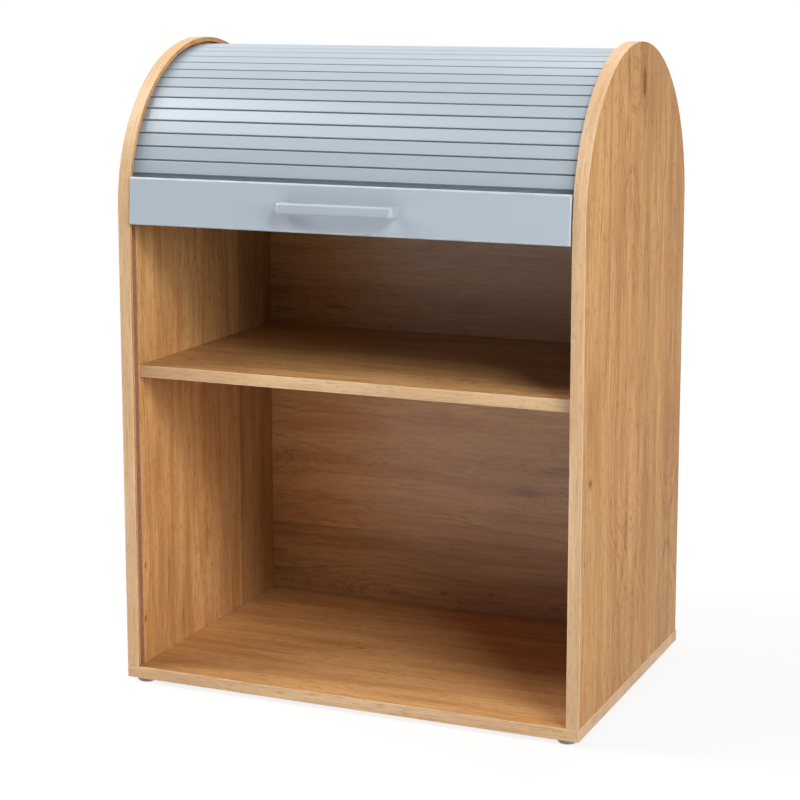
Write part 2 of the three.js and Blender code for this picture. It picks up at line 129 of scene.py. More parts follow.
class Graph:
    """Adds nodes to one tree and joins them."""

    def __init__(self, tree: NodeTree) -> None:
        """Keeps the tree that the nodes go into."""
        self.tree = tree

    def add(self, kind: str, inputs: dict[str | int, Any] | None = None, **settings: Any) -> Node:
        """Adds one node.

        Args:
            kind: The node's type name.
            inputs: What each input, by name or number, is fed with: a socket or a plain value.
            **settings: The node's own settings.

        Returns:
            The node.
        """
        node = self.tree.nodes.new(kind)
        for name, value in settings.items():
            setattr(node, name, value)
        for key, value in (inputs or {}).items():
            if isinstance(value, NodeSocket):
                self.tree.links.new(value, node.inputs[key])
            else:
                node.inputs[key].default_value = value
        return node

    def math(self, operation: str, *values: Feed) -> NodeSocket:
        """Adds a Math node and returns its output."""
        return self.add("ShaderNodeMath", dict(enumerate(values)), operation=operation).outputs[0]

    def times(self, first: Feed, second: Feed) -> NodeSocket:
        """Multiplies two values."""
        return self.math("MULTIPLY", first, second)

    def sum(self, first: Feed, *others: Feed) -> Feed:
        """Adds values up."""
        return reduce(partial(self.math, "ADD"), others, first)

    def scaled(self, value: Feed, factor: Feed, less: Feed = 0.0) -> NodeSocket:
        """Returns (value - less) * factor."""
        return self.times(self.math("SUBTRACT", value, less), factor)

    def hypot(self, first: Feed, second: Feed) -> NodeSocket:
        """Returns the root of the sum of two squares."""
        return self.math("SQRT", self.math("MULTIPLY_ADD", first, first, self.times(second, second)))

    def combine(self, x: Feed, y: Feed, z: Feed) -> NodeSocket:
        """Makes a vector of three values."""
        return self.add("ShaderNodeCombineXYZ", {0: x, 1: y, 2: z}).outputs[0]

    def separate(self, vector: NodeSocket) -> Sequence[NodeSocket]:
        """Takes a vector apart."""
        return tuple(self.add("ShaderNodeSeparateXYZ", {0: vector}).outputs)

    def vector(self, operation: str, *values: Feed) -> Node:
        """Adds a Vector Math node."""
        return self.add("ShaderNodeVectorMath", dict(enumerate(values)), operation=operation)

    def stretch(self, place: NodeSocket, x: float, y: float, z: float, shift: Feed = 0.0) -> NodeSocket:
        """Scales a place along its three axes and shifts it along the third."""
        return self.vector("MULTIPLY_ADD", place, (x, y, z), self.combine(0.0, 0.0, shift)).outputs[0]

    def noise(
        self, vector: NodeSocket, scale: Feed = 1.0, detail: float = 2.0, roughness: float = 0.5,
    ) -> NodeSocket:
        """Adds a Noise Texture and returns its value, from 0 to 1."""
        inputs = {"Vector": vector, "Scale": scale, "Detail": detail, "Roughness": roughness}
        return self.add("ShaderNodeTexNoise", inputs).outputs[0]

    def wander(self, grain: NodeSocket, shift: Feed, way: Wander) -> NodeSocket:
        """Returns a slow change in metres, to either side of 0."""
        place = self.stretch(grain, way.side, way.side, way.length, shift)
        return self.scaled(self.noise(place, 1.0, way.detail), way.reach, 0.5)

    def ease(self, value: Feed, start: Feed, end: Feed, low: Feed = 0.0, high: Feed = 1.0) -> NodeSocket:
        """Maps a value from start..end to low..high with soft ends."""
        inputs = {0: value, 1: start, 2: end, 3: low, 4: high}
        return self.add("ShaderNodeMapRange", inputs, interpolation_type="SMOOTHSTEP").outputs[0]

    def blend(self, share: Feed, first: Feed, second: Feed) -> NodeSocket:
        """Mixes two plain values."""
        return self.add("ShaderNodeMix", {0: share, 2: first, 3: second}, data_type="FLOAT").outputs[0]

    def tint(self, share: Feed, first: Feed, second: Feed, how: str = "MIX") -> NodeSocket:
        """Mixes two colours."""
        inputs = {0: share, 6: first, 7: second}
        return self.add("ShaderNodeMix", inputs, data_type="RGBA", blend_type=how).outputs[2]

    def overlay(self, body: Feed, over: Colour, mask: Feed, share: Feed) -> NodeSocket:
        """Lays a colour over another where a mask is, to a share."""
        return self.tint(self.times(mask, share), body, over)

    def toned(self, body: Feed, tone: Feed) -> NodeSocket:
        """Makes a colour lighter or darker by a factor."""
        return self.tint(1.0, body, self.combine(tone, tone, tone), "MULTIPLY")

    def attribute(self, name: str, output: str = "Fac") -> NodeSocket:
        """Reads an attribute of the mesh."""
        return self.add("ShaderNodeAttribute", attribute_type="GEOMETRY", attribute_name=name).outputs[output]

    def object_place(self) -> NodeSocket:
        """Returns the place in the object's own coordinates."""
        return self.add("ShaderNodeTexCoord").outputs["Object"]


def socket_name(field: str) -> str:
    """Turns the name of a Python value into the name of a socket."""
    return field.replace("_", " ").capitalize()


class Effect:
    """A shader node group that several finishes share. It is built once, at its first use."""

    name = ""
    inputs: dict[str, tuple[str, float]] = {}
    outputs: tuple[str, ...] = ()

    @classmethod
    def draw(cls, graph: Graph, given: Sockets) -> Sockets:
        """Makes the group's nodes.

        Args:
            graph: The group's own graph.
            given: The group's inputs by name.

        Returns:
            What each output is fed with.
        """
        raise NotImplementedError

    @classmethod
    def tree(cls) -> NodeTree:
        """Builds the group's tree at the first call.

        Returns:
            The tree, the same one at each call.
        """
        ready = bpy.data.node_groups.get(cls.name)
        if ready:
            return ready
        tree = bpy.data.node_groups.new(cls.name, "ShaderNodeTree")
        for name, (kind, usual) in cls.inputs.items():
            socket = tree.interface.new_socket(name, in_out="INPUT", socket_type=f"NodeSocket{kind}")
            if kind == "Float":
                socket.default_value = usual
        for name in cls.outputs:
            tree.interface.new_socket(name, in_out="OUTPUT", socket_type="NodeSocketFloat")
        graph = Graph(tree)
        entry = graph.add("NodeGroupInput")
        found = cls.draw(graph, {name: entry.outputs[name] for name in cls.inputs})
        graph.add("NodeGroupOutput", dict(found))
        return tree

    @classmethod
    def place(cls, graph: Graph, **values: Feed) -> Sockets:
        """Places the group in a material.

        Args:
            graph: The material's graph.
            **values: Inputs by name, with underscores for spaces.

        Returns:
            The group's outputs by name.
        """
        inputs = {socket_name(name): value for name, value in values.items()}
        node = graph.add("ShaderNodeGroup", inputs, node_tree=cls.tree())
        return {name: node.outputs[name] for name in cls.outputs}


class GrainFlow(Effect):
    """How the fibres of a board sway from side to side along it."""

    name = "grain flow"
    inputs = {"Grain": ("Vector", 0.0), "Shift": ("Float", 0.0)}
    outputs = ("Across",)
    sways = (Wander(7.0, 6.0, 1.0, 0.012), Wander(24.0, 22.0, 1.0, 0.0032))

    @classmethod
    def draw(cls, graph: Graph, given: Sockets) -> Sockets:
        """Shifts the place across the grain by a long and a short sway."""
        sways = [graph.wander(given["Grain"], given["Shift"], sway) for sway in cls.sways]
        return {"Across": graph.sum(graph.separate(given["Grain"])[0], *sways)}


@dataclass(frozen=True)
class Strand:
    """Noise by its changes a metre across and along the grain, and the ends that a mask of it has."""

    side: float
    length: float
    detail: float
    mask: tuple[float, float] | None = None


class WoodFibre(Effect):
    """The small structure of wood: fibres, pores, streaks and slow changes of tone."""

    name = "wood fibre"
    inputs = {"Grain": ("Vector", 0.0), "Shift": ("Float", 0.0)}
    strands = {
        "Fibre": Strand(1150.0, 26.0, 3.0),
        "Pores": Strand(1900.0, 150.0, 1.0, (0.60, 0.72)),
        "Hair": Strand(430.0, 11.0, 3.0, (0.42, 0.72)),
        "Ticks": Strand(560.0, 62.0, 2.0, (0.54, 0.68)),
        "Lines": Strand(240.0, 9.0, 3.0, (0.52, 0.62)),
        "Flecks": Strand(190.0, 52.0, 2.0, (0.57, 0.65)),
        "Streak": Strand(42.0, 4.2, 5.0),
        "Cloud": Strand(14.0, 1.9, 3.0),
    }
    outputs = (*strands, "Height")
    roughness = 0.55
    pore_height = -0.7

    @classmethod
    def draw(cls, graph: Graph, given: Sockets) -> Sockets:
        """Stretches noise along the grain at eight widths, and sinks the pores into the fibres.

        Args:
            graph: The group's own graph.
            given: The group's inputs by name.

        Returns:
            What each output is fed with.
        """
        found = {}
        for name, strand in cls.strands.items():
            place = graph.stretch(given["Grain"], strand.side, strand.side, strand.length, given["Shift"])
            value = graph.noise(place, 1.0, strand.detail, cls.roughness)
            found[name] = graph.ease(value, *strand.mask) if strand.mask else value
        height = graph.math("MULTIPLY_ADD", found["Pores"], cls.pore_height, found["Fibre"])
        return {**found, "Height": height}


class GrowthRings(Effect):
    """The figure of a board cut from a log: arched rings over its heart and straight ones beside it."""

    name = "growth rings"
    inputs = {
        "Grain": ("Vector", 0.0),
        "Heart": ("Float", 0.0),
        "Depth": ("Float", 0.03),
        "Shift": ("Float", 0.0),
        "Bend": ("Float", 0.0),
        "Ring width": ("Float", 0.008),
        "Taper": ("Float", 0.1),
    }
    outputs = ("Rings", "Fine rings")
    drift = Wander(8.0, 2.6, 2.0, 0.034)
    lean = Wander(1.0, 4.5, 1.0, 1.0)
    swell = Wander(3.0, 2.6, 2.0, 0.065)
    ragged = (Wander(70.0, 24.0, 2.0, 0.0036), Wander(210.0, 7.0, 2.0, 0.0075))
    bend_reach = 0.012
    fine_width = 0.37
    late_end = 0.95

    @classmethod
    def draw(cls, graph: Graph, given: Sockets) -> Sockets:
        """Measures the way to the log's middle, lets it wander along the board and counts rings on it.

        Args:
            graph: The group's own graph.
            given: The group's inputs by name.

        Returns:
            What each output is fed with.
        """
        wander = partial(graph.wander, given["Grain"], given["Shift"])
        across = graph.separate(given["Grain"])[0]
        away = graph.sum(graph.math("SUBTRACT", across, given["Heart"]), wander(cls.drift))
        depth = graph.math("MULTIPLY_ADD", wander(cls.lean), given["Taper"], given["Depth"])
        rough = graph.sum(*(wander(way) for way in cls.ragged))
        path = graph.sum(graph.hypot(away, depth), wander(cls.swell), rough)
        path = graph.math("MULTIPLY_ADD", given["Bend"], cls.bend_reach, path)
        return {
            "Rings": cls.lines(graph, given, path, 1.0, 0.62),
            "Fine rings": cls.lines(graph, given, path, cls.fine_width, 0.5),
        }

    @classmethod
    def lines(cls, graph: Graph, given: Sockets, path: NodeSocket, share: float, start: float) -> NodeSocket:
        """Draws dark late wood at the end of each ring, some rings stronger than others.

        Args:
            graph: The group's graph.
            given: The group's inputs.
            path: The way from the log's middle.
            share: The rings' width as a share of the group's ring width.
            start: Where in a ring its late wood starts.

        Returns:
            The mask of the late wood.
        """
        count = graph.math("DIVIDE", path, graph.times(given["Ring width"], share))
        part = graph.math("FRACT", count)
        number = graph.math("ADD", graph.math("FLOOR", count), given["Shift"])
        chance = graph.add("ShaderNodeTexWhiteNoise", {"W": number}, noise_dimensions="1D").outputs["Value"]
        rise = graph.ease(part, start, cls.late_end)
        fall = graph.ease(part, cls.late_end, 1.0, 1.0, 0.0)
        return graph.times(graph.times(rise, fall), graph.ease(chance, 0.15, 1.0))


class Blemish(Effect):
    """A knot, a flame or a mineral streak: a long soft spot with a ragged rim."""

    name = "wood blemish"
    inputs = {
        "Grain": ("Vector", 0.0),
        "Across": ("Float", 0.0),
        "Along": ("Float", 0.0),
        "Half width": ("Float", 0.004),
        "Half length": ("Float", 0.01),
    }
    outputs = ("Core", "Halo")
    rim_scale = (260.0, 1.0, 45.0)
    rim_reach = 1.5
    strand_scale = (190.0, 1.0, 14.0)

    @classmethod
    def draw(cls, graph: Graph, given: Sockets) -> Sockets:
        """Measures the way from the spot's middle in half widths and half lengths.

        Args:
            graph: The group's own graph.
            given: The group's inputs by name.

        Returns:
            What each output is fed with.
        """
        grain = given["Grain"]
        across, _, along = graph.separate(grain)
        side = graph.math("DIVIDE", graph.math("SUBTRACT", across, given["Across"]), given["Half width"])
        length = graph.math("DIVIDE", graph.math("SUBTRACT", along, given["Along"]), given["Half length"])
        way = graph.hypot(side, length)
        rim = graph.noise(graph.stretch(grain, *cls.rim_scale), 1.0, 3.0, 0.6)
        strand = graph.ease(graph.noise(graph.stretch(grain, *cls.strand_scale)), 0.44, 0.54, 0.3, 1.0)
        core = graph.ease(graph.sum(way, graph.scaled(rim, cls.rim_reach, 0.5)), 1.15, 0.7)
        return {"Core": graph.times(core, strand), "Halo": graph.ease(way, 3.2, 0.6)}


class MouldedSkin(Effect):
    """The skin of moulded or drawn plastic: a fine grain, faint draw lines and small scuffs."""

    name = "moulded skin"
    inputs = {"Place": ("Vector", 0.0), "Grain scale": ("Float", 2200.0), "Draw lines": ("Float", 0.3)}
    outputs = ("Grain", "Drawn", "Scuff", "Height")
    line_scale = (1.6, 1400.0, 1400.0)
    scuff_scale = (14.0, 420.0, 420.0)

    @classmethod
    def draw(cls, graph: Graph, given: Sockets) -> Sockets:
        """Makes an even grain, lines along X and a few long scuffs along X.

        Args:
            graph: The group's own graph.
            given: The group's inputs by name.

        Returns:
            What each output is fed with.
        """
        place = given["Place"]
        grain = graph.noise(place, given["Grain scale"], 2.0, 0.6)
        drawn = graph.noise(graph.stretch(place, *cls.line_scale))
        scuff = graph.ease(graph.noise(graph.stretch(place, *cls.scuff_scale), 1.0, 4.0, 0.62), 0.64, 0.76)
        height = graph.sum(grain, graph.times(drawn, given["Draw lines"]))
        return {"Grain": grain, "Drawn": drawn, "Scuff": scuff, "Height": height}


class EdgeRub(Effect):
    """Where hands and cloths have rubbed an eased edge."""

    name = "edge rub"
    inputs = {"Place": ("Vector", 0.0), "Edge": ("Float", 0.0), "Patch scale": ("Float", 90.0)}
    outputs = ("Rub",)

    @classmethod
    def draw(cls, graph: Graph, given: Sockets) -> Sockets:
        """Breaks the edge up into patches."""
        patches = graph.ease(graph.noise(given["Place"], given["Patch scale"], 3.0, 0.6), 0.3, 0.62)
        return {"Rub": graph.times(given["Edge"], patches)}


@dataclass(frozen=True)
class Coat:
    """What a finish feeds the shader with. A height of 1 measures its depth, in metres."""

    colour: Feed
    roughness: Feed
    height: NodeSocket
    depth: float
    specular: float = 0.5
    metallic: float = 0.0


@dataclass(frozen=True)
class Finish:
    """What a surface is finished with. A subclass says how its nodes are made."""

    name: str

    def dress(self, graph: Graph) -> Coat:
        """Makes the finish's nodes. A subclass does it."""
        raise NotImplementedError

    def material(self) -> Material:
        """Builds the finish's material at the first call.

        Returns:
            The material, the same one at each call.
        """
        ready = bpy.data.materials.get(self.name)
        if ready:
            return ready
        made = bpy.data.materials.new(self.name)
        made.use_nodes = True
        made.node_tree.nodes.clear()
        graph = Graph(made.node_tree)
        coat = self.dress(graph)
        bump = graph.add("ShaderNodeBump", {"Strength": 1.0, "Distance": coat.depth, "Height": coat.height})
        shader = graph.add("ShaderNodeBsdfPrincipled", {
            "Base Color": coat.colour, "Roughness": coat.roughness, "Specular IOR Level": coat.specular,
            "Metallic": coat.metallic, "Normal": bump.outputs[0],
        })
        graph.add("ShaderNodeOutputMaterial", {"Surface": shader.outputs[0]})
        return made

    @staticmethod
    def rub(
        graph: Graph, body: Feed, place: NodeSocket, paler: Colour, share: float, patch_scale: float,
    ) -> NodeSocket:
        """Lays a paler colour over the rubbed edges, in patches."""
        rub = EdgeRub.place(graph, place=place, edge=graph.attribute(RUBBED), patch_scale=patch_scale)["Rub"]
        return graph.overlay(body, paler, rub, share)


@dataclass(frozen=True)
class Plank:
    """One of the strips that a veneered board shows, in metres across the grain."""

    start: float
    heart: float
    depth: float
    tone: float
    shift: float


@dataclass(frozen=True)
class Spot:
    """Where a knot, flame or streak lies on a board, and how large and dark it is."""

    across: float
    along: float
    half_width: float
    half_length: float
    strength: float = 0.8


@dataclass(frozen=True)
class OakFace(Finish):
    """Oak on the broad faces of a board, in planks side by side, with its own knots."""

    planks: tuple[Plank, ...] = (Plank(-1.0, 0.0, 0.03, 1.0, 0.0),)
    spots: tuple[Spot, ...] = ()
    pale: Colour = colour(212, 165, 110)
    warm: Colour = colour(190, 136, 84)
    late: Colour = colour(138, 84, 38)
    pore: Colour = colour(136, 84, 38)
    knot: Colour = colour(96, 44, 10)
    rubbed: Colour = colour(214, 176, 128)
    ring_width: float = 0.0085
    ring_share: float = 0.9
    fine_share: float = 0.6
    taper: float = 0.11
    fleck_share: float = 0.26
    halo_share: float = 0.25
    specular: float = 0.22
    roughness: float = 0.37

    def choose(self, graph: Graph, across: NodeSocket, name: str) -> Feed:
        """Picks a plank's value by the place across the grain.

        Args:
            graph: The material's graph.
            across: The place across the grain.
            name: The plank's field.

        Returns:
            The value where the board has one plank, or else the output that holds it.
        """
        value: Feed = getattr(self.planks[0], name)
        for plank in self.planks[1:]:
            past = graph.math("GREATER_THAN", across, plank.start)
            value = graph.blend(past, value, getattr(plank, name))
        return value

    def dress(self, graph: Graph) -> Coat:
        """Lays rings, streaks, fibres, pores and knots over each other.

        Args:
            graph: The material's graph.

        Returns:
            What the shader's sockets are fed with.
        """
        grain = graph.attribute(GRAIN, "Vector")
        across, through, along = graph.separate(grain)
        names = ("shift", "heart", "depth", "tone")
        shift, heart, depth, tone = (self.choose(graph, across, name) for name in names)
        flow = graph.combine(GrainFlow.place(graph, grain=grain, shift=shift)["Across"], through, along)
        found = [
            (spot, Blemish.place(
                graph, grain=grain, across=spot.across, along=spot.along,
                half_width=spot.half_width, half_length=spot.half_length,
            ))
            for spot in self.spots
        ]
        bend = graph.sum(0.0, *(blemish["Halo"] for _, blemish in found))
        fibre = WoodFibre.place(graph, grain=flow, shift=shift)
        rings = GrowthRings.place(
            graph, grain=flow, shift=shift, bend=bend, ring_width=self.ring_width, taper=self.taper,
            heart=heart, depth=depth,
        )
        body = graph.tint(graph.ease(fibre["Streak"], 0.36, 0.7), self.pale, self.warm)
        body = graph.overlay(body, self.late, fibre["Lines"], 0.2)
        fine = graph.times(rings["Fine rings"], self.fine_share)
        figure = graph.times(graph.math("MAXIMUM", rings["Rings"], fine), self.ring_share)
        body = graph.overlay(body, self.late, figure, graph.math("MULTIPLY_ADD", fibre["Hair"], 0.6, 0.4))
        dashes = graph.math("MULTIPLY_ADD", figure, 0.55, 0.26)
        for name, share in (("Ticks", dashes), ("Hair", 0.12), ("Flecks", self.fleck_share), ("Pores", 0.3)):
            body = graph.overlay(body, self.pore, fibre[name], share)
        body = graph.tint(graph.ease(fibre["Fibre"], 0.5, 0.8, 0.0, 0.22), body, self.late)
        body = graph.toned(body, graph.times(graph.ease(fibre["Cloud"], 0.3, 0.7, 0.91, 1.07), tone))
        for spot, blemish in found:
            body = graph.overlay(body, self.knot, blemish["Core"], spot.strength)
            body = graph.overlay(body, self.late, blemish["Halo"], self.halo_share * spot.strength)
        body = self.rub(graph, body, grain, self.rubbed, 0.6, 90.0)
        gloss = graph.ease(fibre["Fibre"], 0.2, 0.8, self.roughness - 0.05, self.roughness + 0.09)
        return Coat(body, gloss, fibre["Height"], 0.05 * MM, self.specular)


@dataclass(frozen=True)
class OakBand(Finish):
    """The thin oak strip along a board's edges, paler and finer than its faces."""

    pale: Colour = colour(214, 180, 141)
    warm: Colour = colour(198, 160, 119)
    late: Colour = colour(166, 126, 86)
    rubbed: Colour = colour(222, 196, 164)
    shift: float = 0.0
    roughness: float = 0.44

    def dress(self, graph: Graph) -> Coat:
        """Lays fine lines along the strip.

        Args:
            graph: The material's graph.

        Returns:
            What the shader's sockets are fed with.
        """
        grain = graph.attribute(GRAIN, "Vector")
        fibre = WoodFibre.place(graph, grain=grain, shift=self.shift)
        body = graph.tint(graph.ease(fibre["Streak"], 0.32, 0.7), self.pale, self.warm)
        body = graph.tint(graph.ease(fibre["Fibre"], 0.5, 0.85, 0.0, 0.3), body, self.late)
        for name, share in (("Hair", 0.34), ("Ticks", 0.5), ("Pores", 0.22)):
            body = graph.overlay(body, self.late, fibre[name], share)
        body = graph.toned(body, graph.ease(fibre["Cloud"], 0.3, 0.7, 0.94, 1.04))
        body = self.rub(graph, body, grain, self.rubbed, 0.75, 60.0)
        gloss = graph.ease(fibre["Fibre"], 0.2, 0.8, self.roughness - 0.04, self.roughness + 0.08)
        return Coat(body, gloss, fibre["Height"], 0.03 * MM, 0.3)


@dataclass(frozen=True)
class RawCore(Finish):
    """The pressed chips that a cut opens up, as in the guide groove."""

    light: Colour = colour(178, 134, 106)
    dark: Colour = colour(160, 118, 92)

    def dress(self, graph: Graph) -> Coat:
        """Scatters chips of several tones, drawn out along the cut.

        Args:
            graph: The material's graph.

        Returns:
            What the shader's sockets are fed with.
        """
        place = graph.stretch(graph.attribute(GRAIN, "Vector"), 1.0, 1.0, 0.3)
        cells = graph.add("ShaderNodeTexVoronoi", {"Vector": place, "Scale": 900.0})
        grit = graph.noise(place, 1500.0, 3.0, 0.6)
        share = graph.blend(0.5, graph.separate(cells.outputs["Color"])[0], grit)
        body = graph.tint(graph.ease(share, 0.25, 0.75), self.light, self.dark)
        return Coat(body, graph.ease(grit, 0.2, 0.8, 0.62, 0.82), grit, 0.04 * MM, 0.25)


@dataclass(frozen=True)
class Hardboard(Finish):
    """Pressed fibre sheet, smooth and brown, with dark flecks."""

    light: Colour = colour(158, 122, 86)
    dark: Colour = colour(122, 88, 58)
    fleck: Colour = colour(86, 60, 40)

    def dress(self, graph: Graph) -> Coat:
        """Scatters fibres and flecks with no direction.

        Args:
            graph: The material's graph.

        Returns:
            What the shader's sockets are fed with.
        """
        place = graph.object_place()
        felt = graph.noise(place, 420.0, 5.0, 0.65)
        body = graph.tint(graph.ease(felt, 0.32, 0.68), self.light, self.dark)
        flecks = graph.ease(graph.noise(place, 800.0), 0.64, 0.74)
        body = graph.overlay(body, self.fleck, flecks, 0.7)
        cloud = graph.noise(place, 9.0, 3.0)
        body = graph.tint(graph.ease(cloud, 0.3, 0.7, 0.0, 0.22), body, self.dark)
        return Coat(body, graph.ease(felt, 0.2, 0.8, 0.6, 0.78), felt, 0.08 * MM, 0.3)


@dataclass(frozen=True)
class Plastic(Finish):
    """Satin plastic, moulded or drawn along X."""

    body: Colour = colour(160, 170, 180)
    worn: Colour = colour(190, 198, 206)
    roughness: float = 0.36
    spread: float = 0.05
    draw_lines: float = 0.3
    grain_scale: float = 2200.0
    grain_depth: float = 0.02 * MM

    def dress(self, graph: Graph) -> Coat:
        """Gives each piece a slightly different tone and its skin a fine grain.

        Args:
            graph: The material's graph.

        Returns:
            What the shader's sockets are fed with.
        """
        place = graph.object_place()
        skin = MouldedSkin.place(graph, place=place, grain_scale=self.grain_scale, draw_lines=self.draw_lines)
        own = graph.scaled(graph.attribute(SLAT_TONE), self.spread, 0.5)
        slow = graph.scaled(graph.noise(place, 7.0), 0.05, 0.5)
        body = graph.toned(self.body, graph.sum(1.0, own, slow, graph.scaled(skin["Drawn"], 0.05, 0.5)))
        body = graph.overlay(body, self.worn, skin["Scuff"], 0.16)
        body = self.rub(graph, body, place, self.worn, 0.7, 45.0)
        grit = graph.scaled(skin["Grain"], 0.08, 0.5)
        gloss = graph.sum(self.roughness, grit, graph.times(skin["Scuff"], 0.1))
        return Coat(body, gloss, skin["Height"], self.grain_depth)


@dataclass(frozen=True)
class ZincSteel(Finish):
    """Bright zinc on turned steel, a little patchy."""

    light: Colour = colour(204, 207, 212)
    dull: Colour = colour(150, 152, 152)

    def dress(self, graph: Graph) -> Coat:
        """Breaks the plating up into bright and dull patches.

        Args:
            graph: The material's graph.

        Returns:
            What the shader's sockets are fed with.
        """
        place = graph.object_place()
        patch = graph.noise(place, 700.0, 4.0, 0.6)
        body = graph.tint(graph.ease(patch, 0.35, 0.7), self.light, self.dull)
        gloss = graph.ease(patch, 0.2, 0.8, 0.24, 0.42)
        return Coat(body, gloss, graph.noise(place, 3000.0), 0.01 * MM, metallic=1.0)


def merged_copy(node: str) -> BMesh:
    """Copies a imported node's mesh, merged and with its flat faces whole.

    Args:
        node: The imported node.

    Returns:
        The copy.
    """
    shape = bmesh.new()
    shape.from_mesh(frame["nodes"][node].data)
    bmesh.ops.remove_doubles(shape, verts=shape.verts, dist=TOUCH)
    flat = math.radians(0.2)
    bmesh.ops.dissolve_limit(shape, angle_limit=flat, verts=shape.verts, edges=shape.edges)
    shape.normal_update()
    return shape


def ease_edges(shape: BMesh, pick: Callable[[BMEdge], bool], width: float, steps: int = 3) -> None:
    """Rounds a shape's sharp edges and marks the round strips as rubbed.

    Args:
        shape: The shape.
        pick: Says which of the sharp edges are rounded.
        width: How wide the rounding is.
        steps: How many strips it has.
    """
    sharp = math.radians(25)
    mark = shape.faces.layers.float.get(RUBBED) or shape.faces.layers.float.new(RUBBED)
    chosen = [edge for edge in shape.edges if edge.calc_face_angle(0.0) > sharp and pick(edge)]
    made = bmesh.ops.bevel(
        shape, geom=chosen, offset=width, segments=steps, profile=0.5, affect="EDGES",
        clamp_overlap=False, miter_outer="ARC",
    )
    for face in made["faces"]:
        face[mark] = 1.0
    shape.normal_update()


def even_normals(obj: Object, sharp: float = math.radians(35)) -> None:
    """Shades a piece smooth, true on its broad faces, and bakes that into its mesh.

    Args:
        obj: The piece.
        sharp: Edges past this angle stay sharp.
    """
    obj.data.shade_smooth()
    obj.data.set_sharp_from_angle(angle=sharp)
    modifier = obj.modifiers.new("normals", "WEIGHTED_NORMAL")
    modifier.keep_sharp = True
    modifier.weight = 100
    bake(obj)


def bake(obj: Object) -> None:
    """Turns a piece's modifiers into plain mesh.

    Args:
        obj: The piece.
    """
    depsgraph = bpy.context.evaluated_depsgraph_get()
    mesh = bpy.data.meshes.new_from_object(
        obj.evaluated_get(depsgraph), preserve_all_data_layers=True, depsgraph=depsgraph,
    )
    obj.modifiers.clear()
    obj.data = mesh
    mesh.name = obj.name


def mesh_object(name: str, shape: BMesh, finishes: Sequence[Finish] = ()) -> Object:
    """Makes an object of a shape, at the origin.

    Args:
        name: The object's name.
        shape: The shape, which is freed.
        finishes: Its finishes in the order of its material numbers.

    Returns:
        The object, in the scene.
    """
    mesh = bpy.data.meshes.new(name)
    shape.to_mesh(mesh)
    shape.free()
    for finish in finishes:
        mesh.materials.append(finish.material())
    obj = bpy.data.objects.new(name, mesh)
    bpy.context.scene.collection.objects.link(obj)
    return obj


def settle(obj: Object, body: str | None, slot: str, *nodes: str) -> Object:
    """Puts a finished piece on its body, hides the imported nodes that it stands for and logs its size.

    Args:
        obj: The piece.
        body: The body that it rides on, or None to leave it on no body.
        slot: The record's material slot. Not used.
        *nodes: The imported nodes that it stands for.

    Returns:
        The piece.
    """
    if body:
        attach(obj, body)
    if nodes:
        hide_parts(*nodes)
    faces = len(obj.data.polygons)
    LOG.info("%s: %d faces, on %s, for %d nodes", obj.name, faces, body or "two bodies", len(nodes))
    return obj


def filleted(points: Sequence[tuple[float, float, float]], steps: int) -> list[tuple[float, float]]:
    """Rounds the corners of a closed outline.

    Args:
        points: Each corner as its two coordinates and its radius.
        steps: Steps on each round corner.

    Returns:
        The outline's points.
    """
    outline = []
    for index, (x, y, radius) in enumerate(points):
        corner = Vector((x, y))
        if radius <= 0:
            outline.append((x, y))
            continue
        back = Vector(points[index - 1][:2]) - corner
        ahead = Vector(points[(index + 1) % len(points)][:2]) - corner
        half = back.angle(ahead) / 2
        reach = radius / math.tan(half)
        start, end = corner + back.normalized() * reach, corner + ahead.normalized() * reach
        middle = corner + (back.normalized() + ahead.normalized()).normalized() * (radius / math.sin(half))
        first = math.atan2(*(start - middle).yx)
        turn = math.remainder(math.atan2(*(end - middle).yx) - first, math.tau)
        for step in range(steps + 1):
            angle = first + turn * step / steps
            outline.append((middle.x + radius * math.cos(angle), middle.y + radius * math.sin(angle)))
    return outline


def loft(rings: Sequence[Sequence[Vector]]) -> BMesh:
    """Joins rings of points into a skin with flat ends.

    Args:
        rings: Rings with as many points each.

    Returns:
        The shape, its faces outwards.
    """
    shape = bmesh.new()
    rows = [[shape.verts.new(point) for point in ring] for ring in rings]
    count = len(rows[0])
    for low, high in zip(rows, rows[1:]):
        for index in range(count):
            after = (index + 1) % count
            shape.faces.new((low[index], low[after], high[after], high[index]))
    shape.faces.new(rows[0][::-1])
    shape.faces.new(rows[-1])
    bmesh.ops.recalc_face_normals(shape, faces=shape.faces)
    return shape


def turned(profile: Outline, steps: int) -> BMesh:
    """Turns a profile about Z. It starts and ends on the axis.

    Args:
        profile: Radius and height pairs, the first and last with radius 0.
        steps: Steps round the axis.

    Returns:
        The shape, its faces outwards.
    """
    shape = bmesh.new()
    low, high = shape.verts.new((0, 0, profile[0][1])), shape.verts.new((0, 0, profile[-1][1]))
    turns = [math.tau * step / steps for step in range(steps)]
    rings = [
        [shape.verts.new((radius * math.cos(turn), radius * math.sin(turn), height)) for turn in turns]
        for radius, height in profile[1:-1]
    ]
    for index in range(steps):
        after = (index + 1) % steps
        shape.faces.new((low, rings[0][after], rings[0][index]))
        shape.faces.new((high, rings[-1][index], rings[-1][after]))
        for lower, upper in zip(rings, rings[1:]):
            shape.faces.new((lower[index], lower[after], upper[after], upper[index]))
    bmesh.ops.recalc_face_normals(shape, faces=shape.faces)
    return shape


